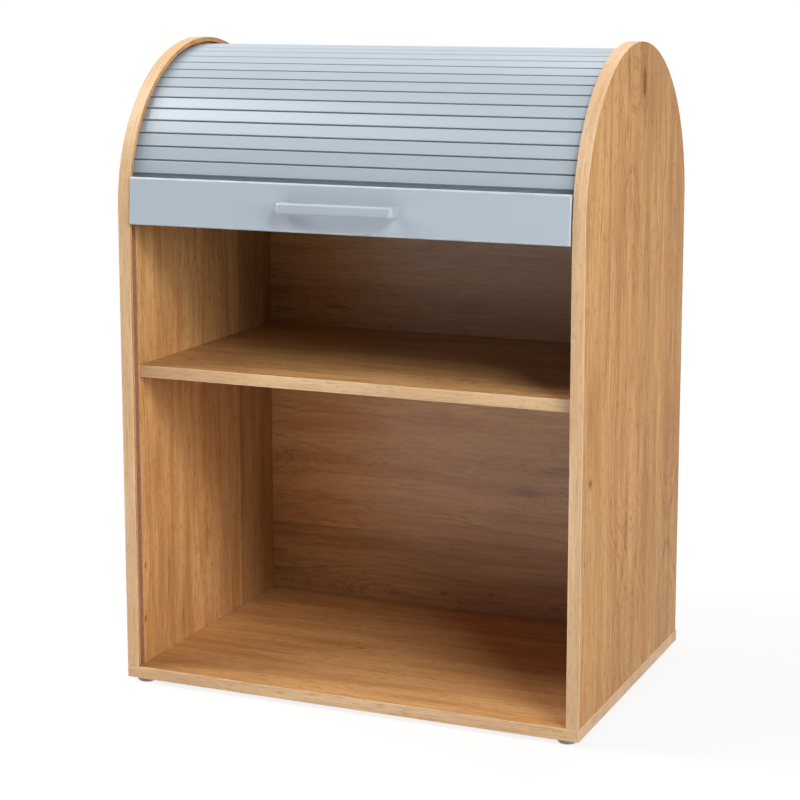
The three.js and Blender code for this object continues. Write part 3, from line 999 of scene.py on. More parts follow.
def absorb(obj: Object, other: Object, material: int = 0) -> None:
    """Takes another object's faces into an object and removes the other.

    Args:
        obj: The object that grows.
        other: The object that goes.
        material: The material number that its faces get.
    """
    shape = bmesh.new()
    shape.from_mesh(obj.data)
    old = len(shape.faces)
    shape.from_mesh(other.data)
    shape.faces.ensure_lookup_table()
    for face in shape.faces[old:]:
        face.material_index = material
    shape.to_mesh(obj.data)
    shape.free()
    bpy.data.objects.remove(other)


def cut_away(obj: Object, tool: BMesh) -> None:
    """Takes a tool's shape out of an object.

    Args:
        obj: The object.
        tool: The shape, which is freed.
    """
    cutter = mesh_object("cutter", tool)
    modifier = obj.modifiers.new("cut", "BOOLEAN")
    modifier.operation = "DIFFERENCE"
    modifier.solver = "EXACT"
    modifier.object = cutter
    bake(obj)
    bpy.data.objects.remove(cutter)


class GeometryTree:
    """A Geometry Nodes tree that is built once and run with its own values for each piece."""

    name = ""
    inputs: dict[str, str] = {}

    @classmethod
    def draw(cls, graph: Graph, given: Sockets) -> NodeSocket:
        """Makes the tree's nodes and returns the instances."""
        raise NotImplementedError

    @staticmethod
    def turned(graph: Graph, turn: NodeSocket, angles: NodeSocket) -> NodeSocket:
        """Turns a rotation by angles about its own axes."""
        own = graph.add("FunctionNodeEulerToRotation", {0: angles}).outputs[0]
        return graph.add("FunctionNodeRotateRotation", {0: turn, 1: own}, rotation_space="LOCAL").outputs[0]

    @classmethod
    def tree(cls) -> NodeTree:
        """Builds the tree at the first call. It ends in Realize Instances and Set Material.

        Returns:
            The tree, the same one at each call.
        """
        ready = bpy.data.node_groups.get(cls.name)
        if ready:
            return ready
        tree = bpy.data.node_groups.new(cls.name, "GeometryNodeTree")
        tree.interface.new_socket("Geometry", in_out="OUTPUT", socket_type="NodeSocketGeometry")
        for name, kind in {"Geometry": "Geometry", **cls.inputs, "Finish": "Material"}.items():
            tree.interface.new_socket(name, in_out="INPUT", socket_type=f"NodeSocket{kind}")
        graph = Graph(tree)
        entry = graph.add("NodeGroupInput")
        given = {name: entry.outputs[name] for name in ("Geometry", *cls.inputs)}
        whole = graph.add("GeometryNodeRealizeInstances", {"Geometry": cls.draw(graph, given)})
        dressed = graph.add(
            "GeometryNodeSetMaterial", {"Geometry": whole.outputs[0], "Material": entry.outputs["Finish"]},
        )
        graph.add("NodeGroupOutput", {"Geometry": dressed.outputs[0]})
        return tree

    @classmethod
    def run(cls, name: str, places: BMesh, finish: Finish, **values: Any) -> Object:
        """Runs the tree on a mesh of places and bakes what it makes.

        Args:
            name: The piece's name.
            places: The mesh that the tree starts from.
            finish: The piece's finish.
            **values: The tree's inputs by name, with underscores for spaces.

        Returns:
            The piece, with a plain mesh.
        """
        obj = mesh_object(name, places)
        modifier = obj.modifiers.new(cls.name, "NODES")
        modifier.node_group = cls.tree()
        given = {"Finish": finish.material(), **{socket_name(key): value for key, value in values.items()}}
        for item in cls.tree().interface.items_tree:
            if item.in_out == "INPUT" and item.name in given:
                modifier[item.identifier] = given[item.name]
        bake(obj)
        even_normals(obj)
        return obj


class SlatRun(GeometryTree):
    """Slats set one after another along a track, square to it."""

    name = "slat run"
    inputs = {
        "Track": "Object", "Slat": "Object", "Count": "Int", "Pitch": "Float", "Looseness": "Float",
        "Seed": "Int",
    }

    @classmethod
    def draw(cls, graph: Graph, given: Sockets) -> NodeSocket:
        """Samples the track at half pitches and turns each slat about X to follow it.

        Args:
            graph: The tree's own graph.
            given: The tree's inputs by name.

        Returns:
            The instances.
        """
        track = graph.add("GeometryNodeObjectInfo", {"Object": given["Track"]}).outputs["Geometry"]
        slat = graph.add("GeometryNodeObjectInfo", {"Object": given["Slat"], "As Instance": True})
        index = graph.add("GeometryNodeInputIndex").outputs[0]
        way = graph.times(graph.math("ADD", index, 0.5), given["Pitch"])
        sample = graph.add("GeometryNodeSampleCurve", {"Curves": track, "Length": way}, mode="LENGTH")
        tangent = {"Vector": sample.outputs["Tangent"]}
        turn = graph.add("FunctionNodeAlignRotationToVector", tangent, axis="Z", pivot_axis="X").outputs[0]

        def chance(low: float, salt: float) -> NodeSocket:
            """Returns a seeded random value for each slat, from the low one to 1."""
            inputs = {2: low, 3: 1.0, 7: index, 8: graph.math("ADD", given["Seed"], salt)}
            return graph.add("FunctionNodeRandomValue", inputs, data_type="FLOAT").outputs[1]

        slack = graph.times(given["Looseness"], chance(-1.0, 1.0))
        turn = cls.turned(graph, turn, graph.combine(slack, 0.0, 0.0))
        places = {"Count": given["Count"], "Position": sample.outputs["Position"]}
        points = graph.add("GeometryNodePoints", places).outputs[0]
        copies = {"Points": points, "Instance": slat.outputs["Geometry"], "Rotation": turn}
        whole = graph.add("GeometryNodeInstanceOnPoints", copies).outputs[0]
        toned = {"Geometry": whole, "Name": SLAT_TONE, "Value": chance(0.0, 2.0)}
        store = graph.add("GeometryNodeStoreNamedAttribute", toned, data_type="FLOAT", domain="INSTANCE")
        return store.outputs[0]


class PlacedCopies(GeometryTree):
    """Copies of a fitting, one at each point, each with its own spin about its axis."""

    name = "placed copies"
    inputs = {"Fitting": "Object", "Turn": "Vector", "Spin": "Float", "Seed": "Int"}

    @classmethod
    def draw(cls, graph: Graph, given: Sockets) -> NodeSocket:
        """Spins each copy about its own axis, then lays that axis the way the fitting goes.

        Args:
            graph: The tree's own graph.
            given: The tree's inputs by name.

        Returns:
            The instances.
        """
        fitting = graph.add("GeometryNodeObjectInfo", {"Object": given["Fitting"], "As Instance": True})
        ends = {2: -1.0, 3: 1.0, 8: given["Seed"]}
        chance = graph.add("FunctionNodeRandomValue", ends, data_type="FLOAT").outputs[1]
        spin = graph.combine(0.0, 0.0, graph.times(given["Spin"], chance))
        lie = graph.add("FunctionNodeEulerToRotation", {0: given["Turn"]}).outputs[0]
        copies = {
            "Points": given["Geometry"], "Instance": fitting.outputs["Geometry"],
            "Rotation": cls.turned(graph, lie, spin),
        }
        return graph.add("GeometryNodeInstanceOnPoints", copies).outputs[0]


def place_copies(
    name: str, form: Object, places: Iterable[Vector], finish: Finish,
    turn: tuple[float, float, float] = (0.0, 0.0, 0.0), spin: float = 0.0, seed: int = 0,
) -> Object:
    """Sets copies of a form at places and removes the form.

    Args:
        name: The piece's name.
        form: What is copied. Its axis is Z.
        places: The places.
        finish: The piece's finish.
        turn: How its axis is turned, as angles about X, Y and Z.
        spin: The most that a copy is turned about its own axis, to either side.
        seed: For these turns.

    Returns:
        The copies as one piece.
    """
    points = bmesh.new()
    for place in places:
        points.verts.new(place)
    obj = PlacedCopies.run(name, points, finish, fitting=form, turn=turn, spin=spin, seed=seed)
    bpy.data.objects.remove(form)
    return obj


def middle(node: str) -> Vector:
    """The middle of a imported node's box."""
    low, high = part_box(node)
    return (low + high) / 2


@dataclass(frozen=True)
class Measures:
    """What several sub-assemblies share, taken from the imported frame."""

    centre_y: float
    springline: float
    arch_radius: float
    inner_face: float
    foot: float
    slat_back_radius: float
    slat_thickness: float
    travel: float
    rail_tilt: float
    rail_pivot: Vector

    @classmethod
    def from_frame(cls) -> "Measures":
        """Reads the boxes of the side boards and the curtain, and the joints.

        Returns:
            The measures.
        """
        low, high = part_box("right_side_panel")
        tail_low, tail_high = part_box("curtain_tail")
        centre = (low.y + high.y) / 2
        joints = {joint["name"]: joint for joint in frame["joints"]}
        return cls(
            centre_y=centre,
            springline=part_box("outer_back_panel")[1].z,
            arch_radius=(high.y - low.y) / 2,
            inner_face=low.x,
            foot=low.z,
            slat_back_radius=tail_low.y - centre,
            slat_thickness=tail_high.y - tail_low.y,
            travel=joints["shutter_slide"]["range_m"][1],
            rail_tilt=math.radians(joints["rail_tilt"]["range_deg"][1]),
            rail_pivot=Vector(joints["rail_tilt"]["pos_m"]),
        )

    def rail_place(self) -> Matrix:
        """Where the tipped rail's own drawing lies: its origin is on the lower guides."""
        return Matrix.Translation(self.rail_pivot) @ Matrix.Rotation(-self.rail_tilt, 4, "X")

    def box_on_rail(self, node: str) -> tuple[Vector, Vector]:
        """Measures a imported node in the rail's own drawing.

        Args:
            node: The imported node.

        Returns:
            Its lowest and its highest corner.
        """
        back = self.rail_place().inverted()
        points = [back @ vertex.co for vertex in frame["nodes"][node].data.vertices]
        return Vector(map(min, zip(*points))), Vector(map(max, zip(*points)))


class Grain(Enum):
    """Which axes run across, through and along a board's grain."""

    UPRIGHT = (1, 0, 2)
    FLAT = (1, 2, 0)
    STANDING = (2, 1, 0)

    def of(self, place: Vector) -> Vector:
        """A place as across, through and along the grain."""
        return Vector([place[axis] for axis in self.value])


class Skin(Enum):
    """The kinds of surface on a board, as its material numbers."""

    FACE = 0
    BAND = 1
    CUT = 2


@dataclass
class Board:
    """A level board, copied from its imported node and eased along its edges."""

    node: str
    name: str
    grain: Grain
    face: OakFace
    band: OakBand
    slot: str = "oak_level"
    ease: float = 0.7 * MM

    def on_outline(self, edge: BMEdge) -> bool:
        """Tells the edges to ease from the others.

        Args:
            edge: An edge of the board.

        Returns:
            Whether it is one of the box's own twelve.
        """
        low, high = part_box(self.node)
        return all(
            sum(min(abs(v.co[i] - low[i]), abs(v.co[i] - high[i])) < TOUCH for i in range(3)) >= 2
            for v in edge.verts
        )

    def skin(self, face: BMFace) -> Skin:
        """Broad faces show oak, the rest its edge band."""
        through = self.grain.value[1]
        return Skin.FACE if abs(face.normal[through]) > 0.9 else Skin.BAND

    def band_grain(self, place: Vector, face: BMFace) -> Vector:
        """Finds the grain of an edge band, which runs along its edge.

        Args:
            place: A corner of the band.
            face: The face that it belongs to.

        Returns:
            The place as across, through and along the grain.
        """
        ends_on = abs(face.normal.x) > abs(face.normal.y)
        along = place.y if ends_on and self.grain is Grain.FLAT else place.x
        return Vector((place.z, place.y, along))

    def lay_grain(self, shape: BMesh) -> None:
        """Writes each corner's grain and each face's material number.

        Args:
            shape: The board's shape.
        """
        layer = shape.loops.layers.float_vector.new(GRAIN)
        for face in shape.faces:
            skin = self.skin(face)
            face.material_index = skin.value
            for loop in face.loops:
                place = loop.vert.co
                loop[layer] = self.grain.of(place) if skin is Skin.FACE else self.band_grain(place, face)

    def build(self) -> Object:
        """Copies, eases and dresses the board.

        Returns:
            The board, on the carcass.
        """
        shape = merged_copy(self.node)
        ease_edges(shape, self.on_outline, self.ease)
        self.lay_grain(shape)
        obj = mesh_object(self.name, shape, [self.face, self.band, RawCore("oak_cut_core")])
        even_normals(obj)
        return settle(obj, "carcass", self.slot, self.node)


@dataclass
class SideBoard(Board):
    """A side board with its half-round head and the guide groove."""

    slot: str = "oak_upright"
    groove_setback: float = 6 * MM
    groove_width: float = 9 * MM
    groove_slack: float = 1 * MM
    cut_start: float = 0.2 * MM
    cut_end: float = 8 * MM

    def __post_init__(self) -> None:
        """Reads the shared sizes."""
        self.measures = Measures.from_frame()

    def inset(self, place: Vector) -> float:
        """Measures how far a place lies inside the upright outline.

        Args:
            place: The place.

        Returns:
            The way to the outline.
        """
        side = place.y - self.measures.centre_y
        rise = max(0.0, place.z - self.measures.springline)
        return self.measures.arch_radius - math.hypot(side, rise)

    def on_outline(self, edge: BMEdge) -> bool:
        """Tells the edges to ease from the others.

        Args:
            edge: An edge of the board.

        Returns:
            Whether it runs round the outline or along the groove's mouth.
        """
        m = self.measures
        insets = [self.inset(v.co) for v in edge.verts]
        at_foot = all(v.co.z < m.foot + TOUCH for v in edge.verts)
        if at_foot or all(abs(inset) < 5 * TOUCH for inset in insets):
            return self.on_face(edge)
        lips = (self.groove_setback, self.groove_setback + self.groove_width)
        at_mouth = all(abs(abs(v.co.x) - m.inner_face) < TOUCH for v in edge.verts)
        return at_mouth and any(all(abs(inset - lip) < 8 * TOUCH for inset in insets) for lip in lips)

    def on_face(self, edge: BMEdge) -> bool:
        """Whether an edge lies in one of the two broad faces."""
        low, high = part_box(self.node)
        return any(all(abs(v.co.x - x) < TOUCH for v in edge.verts) for x in (low.x, high.x))

    def skin(self, face: BMFace) -> Skin:
        """Tells raw core in the groove from banded edges and oak faces.

        Args:
            face: A face of the board.

        Returns:
            Its skin.
        """
        place = face.calc_center_median()
        deep = abs(place.x) - self.measures.inner_face
        inset = self.inset(place) - self.groove_setback
        in_groove = -self.groove_slack < inset < self.groove_width + self.groove_slack
        if in_groove and self.cut_start < deep < self.cut_end:
            return Skin.CUT
        return super().skin(face)

    def band_grain(self, place: Vector, face: BMFace) -> Vector:
        """Finds the grain of the band, which runs up the front, over the arch and down the back.

        Args:
            place: A corner of the band.
            face: The face that it belongs to.

        Returns:
            The place as across, through and along the grain.
        """
        m = self.measures
        rise = place.z - m.springline
        if rise <= 0:
            along = rise if place.y < m.centre_y else math.pi * m.arch_radius - rise
        else:
            along = m.arch_radius * math.atan2(rise, m.centre_y - place.y)
        return Vector((place.x, self.inset(place), along))


@dataclass
class Carcass:
    """The oak boards that stay still: two sides, base, shelf, inner back and stretcher."""

    def sides(self) -> list[SideBoard]:
        """Describes the two side boards. Their planks and knots lie where the photograph shows them.

        Returns:
            The right board and the left one.
        """
        right = OakFace(
            "oak_right_side",
            pale=colour(211, 162, 103),
            warm=colour(189, 133, 78),
            ring_width=0.011,
            taper=0.2,
            fleck_share=0.34,
            specular=0.08,
            roughness=0.42,
            planks=(
                Plank(-1.0, -0.330, 0.030, 0.93, 3.1),
                Plank(-0.102, -0.012, 0.026, 0.91, 7.7),
                Plank(0.106, 0.163, 0.022, 0.87, 12.9),
            ),
            spots=(
                Spot(0.0245, 0.758, 0.0070, 0.0175, 1.6),
                Spot(-0.0400, 0.768, 0.0040, 0.034, 0.45),
                Spot(-0.0185, 0.138, 0.0050, 0.015, 0.6),
                Spot(-0.0220, 0.216, 0.0060, 0.024, 0.35),
                Spot(-0.1658, 0.307, 0.0044, 0.0034, 2.2),
            ),
        )
        left = OakFace(
            "oak_left_side",
            ring_width=0.0075,
            ring_share=0.75,
            specular=0.12,
            roughness=0.42,
            planks=(Plank(-1.0, -0.010, 0.030, 1.0, 21.3), Plank(0.087, 0.230, 0.040, 0.78, 26.9)),
            spots=(
                Spot(-0.1737, 0.148, 0.0022, 0.004, 0.8),
                Spot(-0.1760, 0.078, 0.0022, 0.005, 0.8),
                Spot(-0.0810, 0.046, 0.0045, 0.022, 0.6),
                Spot(-0.0090, 0.139, 0.0070, 0.026, 0.3),
            ),
        )
        bands = OakBand("oak_band_right", shift=4.0), OakBand("oak_band_left", shift=9.0)
        return [
            SideBoard("right_side_panel", "side_board_right", Grain.UPRIGHT, right, bands[0]),
            SideBoard("left_side_panel", "side_board_left", Grain.UPRIGHT, left, bands[1]),
        ]

    def levels(self) -> list[Board]:
        """Describes the level boards.

        Returns:
            The base, the shelf, the inner back and the stretcher.
        """
        band = OakBand("oak_band_level", shift=15.0)
        floor = OakFace(
            "oak_base",
            planks=(Plank(-1.0, -0.02, 0.020, 1.0, 31.7), Plank(0.12, 0.25, 0.030, 0.95, 35.2)),
            spots=(Spot(-0.1638, -0.1252, 0.0022, 0.004, 0.8), Spot(-0.018, -0.057, 0.003, 0.008, 0.5)),
        )
        shelf = OakFace(
            "oak_shelf",
            planks=(Plank(-1.0, -0.12, 0.025, 1.0, 41.3), Plank(0.05, 0.12, 0.030, 0.95, 44.8)),
            spots=(Spot(-0.104, 0.062, 0.0022, 0.006, 0.6),),
        )
        back = OakFace(
            "oak_inner_back",
            ring_width=0.006,
            taper=0.08,
            fleck_share=0.12,
            specular=0.85,
            roughness=0.3,
            planks=(
                Plank(-1.0, 0.030, 0.018, 0.72, 51.9),
                Plank(0.121, 0.215, 0.024, 1.0, 55.4),
                Plank(0.330, 0.440, 0.026, 0.96, 58.6),
            ),
            spots=(
                Spot(0.0345, -0.0961, 0.0026, 0.010, 0.8),
                Spot(0.0417, -0.0205, 0.0024, 0.008, 0.7),
                Spot(0.0485, 0.0476, 0.0022, 0.006, 0.6),
                Spot(0.0402, 0.1403, 0.0024, 0.007, 0.8),
                Spot(0.1970, 0.0968, 0.0060, 0.030, 0.45),
                Spot(0.2286, 0.1461, 0.0070, 0.034, 0.5),
                Spot(0.4347, -0.1832, 0.0040, 0.018, 0.5),
            ),
        )
        stretcher = OakFace("oak_stretcher", planks=(Plank(-1.0, 0.0, 0.03, 0.97, 63.1),))
        return [
            Board("base_panel", "base_board", Grain.FLAT, floor, band),
            Board("middle_shelf", "shelf_board", Grain.FLAT, shelf, band),
            Board("inner_back_panel", "inner_back_board", Grain.STANDING, back, band),
            Board("top_stretcher", "stretcher_board", Grain.FLAT, stretcher, band),
        ]

    def build(self) -> None:
        """Builds every board."""
        for board in [*self.sides(), *self.levels()]:
            board.build()


@dataclass
class BackSheet:
    """The thin sheet that covers the curtain's way down, and the pins that hold it."""

    measures: Measures
    pin_spacing: float = 96 * MM
    pin_inset: float = 6 * MM
    pin_head_diameter: float = 3.4 * MM
    pin_head_height: float = 0.5 * MM
    pin_length: float = 2.4 * MM
    sheet_ease: float = 0.35 * MM

    def pin(self) -> Object:
        """Makes one pin, its head outwards along Z.

        Returns:
            The pin, its seat at the origin.
        """
        head, shank = self.pin_head_diameter / 2, self.pin_head_diameter / 5
        rim = self.pin_head_height / 3
        profile = [
            (0, -self.pin_length), (shank / 2, -self.pin_length), (shank, -self.pin_length * 0.7), (shank, 0),
            (head, 0), (head, rim), (head * 0.8, 2 * rim), (head * 0.4, self.pin_head_height),
            (0, self.pin_head_height),
        ]
        return mesh_object("pin_form", turned(profile, 14))

    def pin_places(self) -> list[Vector]:
        """Spaces the pins evenly down both sides and along the foot.

        Returns:
            The place of each pin on the sheet's back.
        """
        low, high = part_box("outer_back_panel")
        left, right = low.x + self.pin_inset, high.x - self.pin_inset
        bottom, top = low.z + self.pin_inset, high.z - self.pin_inset
        rise = round((top - bottom) / self.pin_spacing)
        width = round((right - left) / self.pin_spacing)
        heights = [bottom + (top - bottom) * step / rise for step in range(rise + 1)]
        across = [left + (right - left) * step / width for step in range(1, width)]
        places = [Vector((x, high.y, z)) for x in (left, right) for z in heights]
        return places + [Vector((x, high.y, bottom)) for x in across]

    def build(self) -> None:
        """Eases the sheet's edges and sets its pins."""
        shape = merged_copy("outer_back_panel")
        ease_edges(shape, lambda edge: True, self.sheet_ease, 2)
        sheet = mesh_object("back_sheet", shape, [Hardboard("hardboard_sheet")])
        even_normals(sheet)
        settle(sheet, "carcass", "hardboard", "outer_back_panel")
        pins = place_copies(
            "back_sheet_pins", self.pin(), self.pin_places(), ZincSteel("zinc_pins"),
            turn=(-math.pi / 2, 0.0, 0.0), spin=math.pi, seed=3,
        )
        settle(pins, "carcass", "zinc_steel")


@dataclass
class Curtain:
    """The slats: fixed over the arch, stored behind the inner back, and gathered behind the rail."""

    measures: Measures
    pitch: float = 17 * MM
    seam: float = 1.4 * MM
    shoulder: float = 0.9 * MM
    tongue_height: float = 1.5 * MM
    tongue_thickness: float = 1.2 * MM
    tongue_reach: float = 1.9 * MM
    tongue_play: float = 0.4 * MM
    end_gap: float = 0.8 * MM
    groove_depth: float = 7 * MM
    looseness: float = math.radians(0.22)
    squeezed_share: float = 0.02
    small_round: float = 0.35 * MM
    end_bevel: float = 0.5 * MM
    arc_steps: int = 240
    short_arc_steps: int = 40
    # The strip's dark grey is painted shade: it draws the dark seam between the lowest slat and the rail.
    strip_shade_colour: Colour = colour(62, 68, 74)
    strip_thickness: float = 0.6 * MM
    strip_setback: float = 0.2 * MM
    strip_lift: float = 0.3 * MM

    @property
    def hinge_radius(self) -> float:
        """The radius on which the slats hook into each other."""
        return self.measures.slat_back_radius + self.tongue_height + self.tongue_thickness / 2

    @property
    def half_length(self) -> float:
        """Half a slat's length, from the cabinet's middle into the groove."""
        return self.measures.inner_face + self.groove_depth - self.end_gap

    def slat(self) -> Object:
        """Makes one slat about the line where it hooks, along X. Its front looks along -Y, its tongue up.

        Returns:
            The slat, at the origin.
        """
        half = (self.pitch - self.seam) / 2
        back = self.tongue_height + self.tongue_thickness / 2
        front = back - self.measures.slat_thickness
        tongue = self.tongue_thickness / 2
        tip = self.pitch / 2 + self.tongue_reach
        slot = tongue + self.tongue_play
        floor = -self.pitch / 2 + self.tongue_reach + self.tongue_play
        small = self.small_round
        outline = filleted([
            (back, -half, small), (back, half, small),
            (tongue, half, 0), (tongue, tip, small), (-tongue, tip, small), (-tongue, half, 0),
            (front, half, self.shoulder), (front, -half, self.shoulder),
            (-slot, -half, small), (-slot, floor, 0), (slot, floor, 0), (slot, -half, small),
        ], 4)
        rings = []
        for inset in (0.0, self.end_bevel):
            shrink = 1.0 if inset else 1.0 - self.end_bevel / self.pitch
            for side in (-1, 1):
                x = side * (self.half_length - inset)
                rings.append([Vector((x, y * shrink, z * shrink)) for y, z in outline])
        return mesh_object("slat_form", loft(sorted(rings, key=lambda ring: ring[0].x)))

    def track(self, points: Outline) -> Object:
        """Makes a track in the middle plane.

        Args:
            points: Its points as Y and Z, in the order in which the slats follow each other.

        Returns:
            A curve.
        """
        curve = bpy.data.curves.new("track_form", "CURVE")
        curve.dimensions = "3D"
        spline = curve.splines.new("POLY")
        spline.points.add(len(points) - 1)
        for point, (y, z) in zip(spline.points, points):
            point.co = (0.0, y, z, 1.0)
        obj = bpy.data.objects.new("track_form", curve)
        bpy.context.scene.collection.objects.link(obj)
        return obj

    def on_arch(self, angle: float) -> tuple[float, float]:
        """The track's place at an angle over the arch, from the front."""
        deep, high = self.hinge_radius * math.cos(angle), self.hinge_radius * math.sin(angle)
        return self.measures.centre_y - deep, self.measures.springline + high

    def run(self, name: str, points: Outline, count: int, pitch: float, seed: int) -> Object:
        """Sets slats along a track.

        Args:
            name: The piece's name.
            points: The track's points.
            count: How many slats.
            pitch: The way from one to the next.
            seed: For their small differences.

        Returns:
            The slats as one mesh.
        """
        track, slat = self.track(points), self.slat()
        obj = SlatRun.run(
            name, bmesh.new(), Plastic("curtain_satin", body=colour(155, 166, 175)),
            track=track, slat=slat, count=count, pitch=pitch, looseness=self.looseness, seed=seed,
        )
        for form in (track, slat):
            bpy.data.objects.remove(form)
        return obj

    def over_arch(self) -> None:
        """The slats on the arch, and the soft strip that leads from the first of them to the rail."""
        m = self.measures
        nodes = sorted(name for name in frame["nodes"] if name.startswith("curtain_slat_"))
        tail_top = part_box("curtain_tail")[1].z + self.seam / 2
        last = math.pi - (tail_top - m.springline) / self.hinge_radius
        first = last - len(nodes) * self.pitch / self.hinge_radius
        steps = self.arc_steps
        arc = [self.on_arch(first + (last - first) * step / steps) for step in range(steps + 1)]
        obj = self.run("curtain_over_arch", arc, len(nodes), self.pitch, 11)
        self.add_lead_strip(obj, arc[0])
        settle(obj, "carcass", "curtain_plastic", *nodes)

    def add_lead_strip(self, obj: Object, hook: tuple[float, float]) -> None:
        """Adds the thin strip that closes the gap between the first slat and the gathered ones. Its dark
        colour is painted shade for the seam above the rail.

        Args:
            obj: The slats over the arch.
            hook: Where the first of them hooks, as Y and Z.
        """
        y, top = hook[0] + self.tongue_height - self.strip_setback, hook[1] + self.tongue_reach
        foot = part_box("curtain_front_stretch")[1].z + self.strip_lift
        half = self.strip_thickness / 2
        round_ends = [(y - half, foot, half / 2), (y + half, foot, half / 2)]
        outline = filleted([*round_ends, (y + half, top, 0), (y - half, top, 0)], 3)
        rings = [[Vector((x, *point)) for point in outline] for x in (-self.half_length, self.half_length)]
        # Dark grey strip: painted shade of the seam above the rail.
        obj.data.materials.append(Plastic("lead_strip", body=self.strip_shade_colour, roughness=0.6).material())
        absorb(obj, mesh_object("strip_form", loft(rings)), 1)

    def stored(self) -> None:
        """The straight stretch behind the inner back, built as the imported frame has it. On the real cabinet
        it grows shorter as the shutter comes down.
        """
        m = self.measures
        low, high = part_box("curtain_tail")
        top = high.z + self.seam / 2
        count = round((top - low.z) / self.pitch)
        y = m.centre_y + self.hinge_radius
        obj = self.run("curtain_stored", [(y, top), (y, top - count * self.pitch)], count, self.pitch, 12)
        settle(obj, "carcass", "curtain_plastic", "curtain_tail")
        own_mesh(obj)

    def gathered(self) -> None:
        """The stretch between rail and arch, built at its full reach and gathered behind the raised rail."""
        m = self.measures
        low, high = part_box("curtain_front_stretch")
        room = high.z - low.z
        reach = m.travel + room
        count = round(reach / self.pitch)
        top_angle = math.asin((high.z - m.springline) / self.hinge_radius)
        steps = self.short_arc_steps
        arc = [self.on_arch(top_angle * step / steps) for step in range(steps + 1)]
        length = top_angle * self.hinge_radius
        straight = m.centre_y - self.hinge_radius
        foot = high.z - reach
        pitch = (m.springline - foot + length) / count
        obj = self.run("curtain_gathered", [(straight, foot), *arc], count, pitch, 13)
        mesh = obj.data
        points = np.empty(len(mesh.vertices) * 3, np.float32)
        mesh.vertices.foreach_get("co", points)
        points = points.reshape(-1, 3).astype(float)
        drop = np.clip((high.z - points[:, 2]) / reach, 0.0, 1.0)
        points[:, 2] = high.z - room * self.gather(drop, room, reach)
        mesh.vertices.foreach_set("co", points.astype(np.float32).ravel())
        mesh.update()
        settle(obj, None, "curtain_plastic", "curtain_front_stretch")
        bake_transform(obj)

    def gather(self, drop: np.ndarray, room: float, reach: float) -> np.ndarray:
        """Finds where each point waits, so that the blended slats come out evenly at full travel.

        Args:
            drop: The point's share of the full reach, from the top.
            room: The height of the space behind the raised rail.
            reach: The full reach.

        Returns:
            The point's share of that space, from the top.
        """
        low, high = np.zeros_like(drop), np.ones_like(drop)
        for _ in range(40):
            share = (low + high) / 2
            there = room * share + (reach - room) * share * share * (3 - 2 * share)
            above = there < drop * reach
            low, high = np.where(above, share, low), np.where(above, high, share)
        return (low + high) / 2

    def build(self) -> None:
        """Builds the three stretches."""
        self.over_arch()
        self.stored()
        self.gathered()


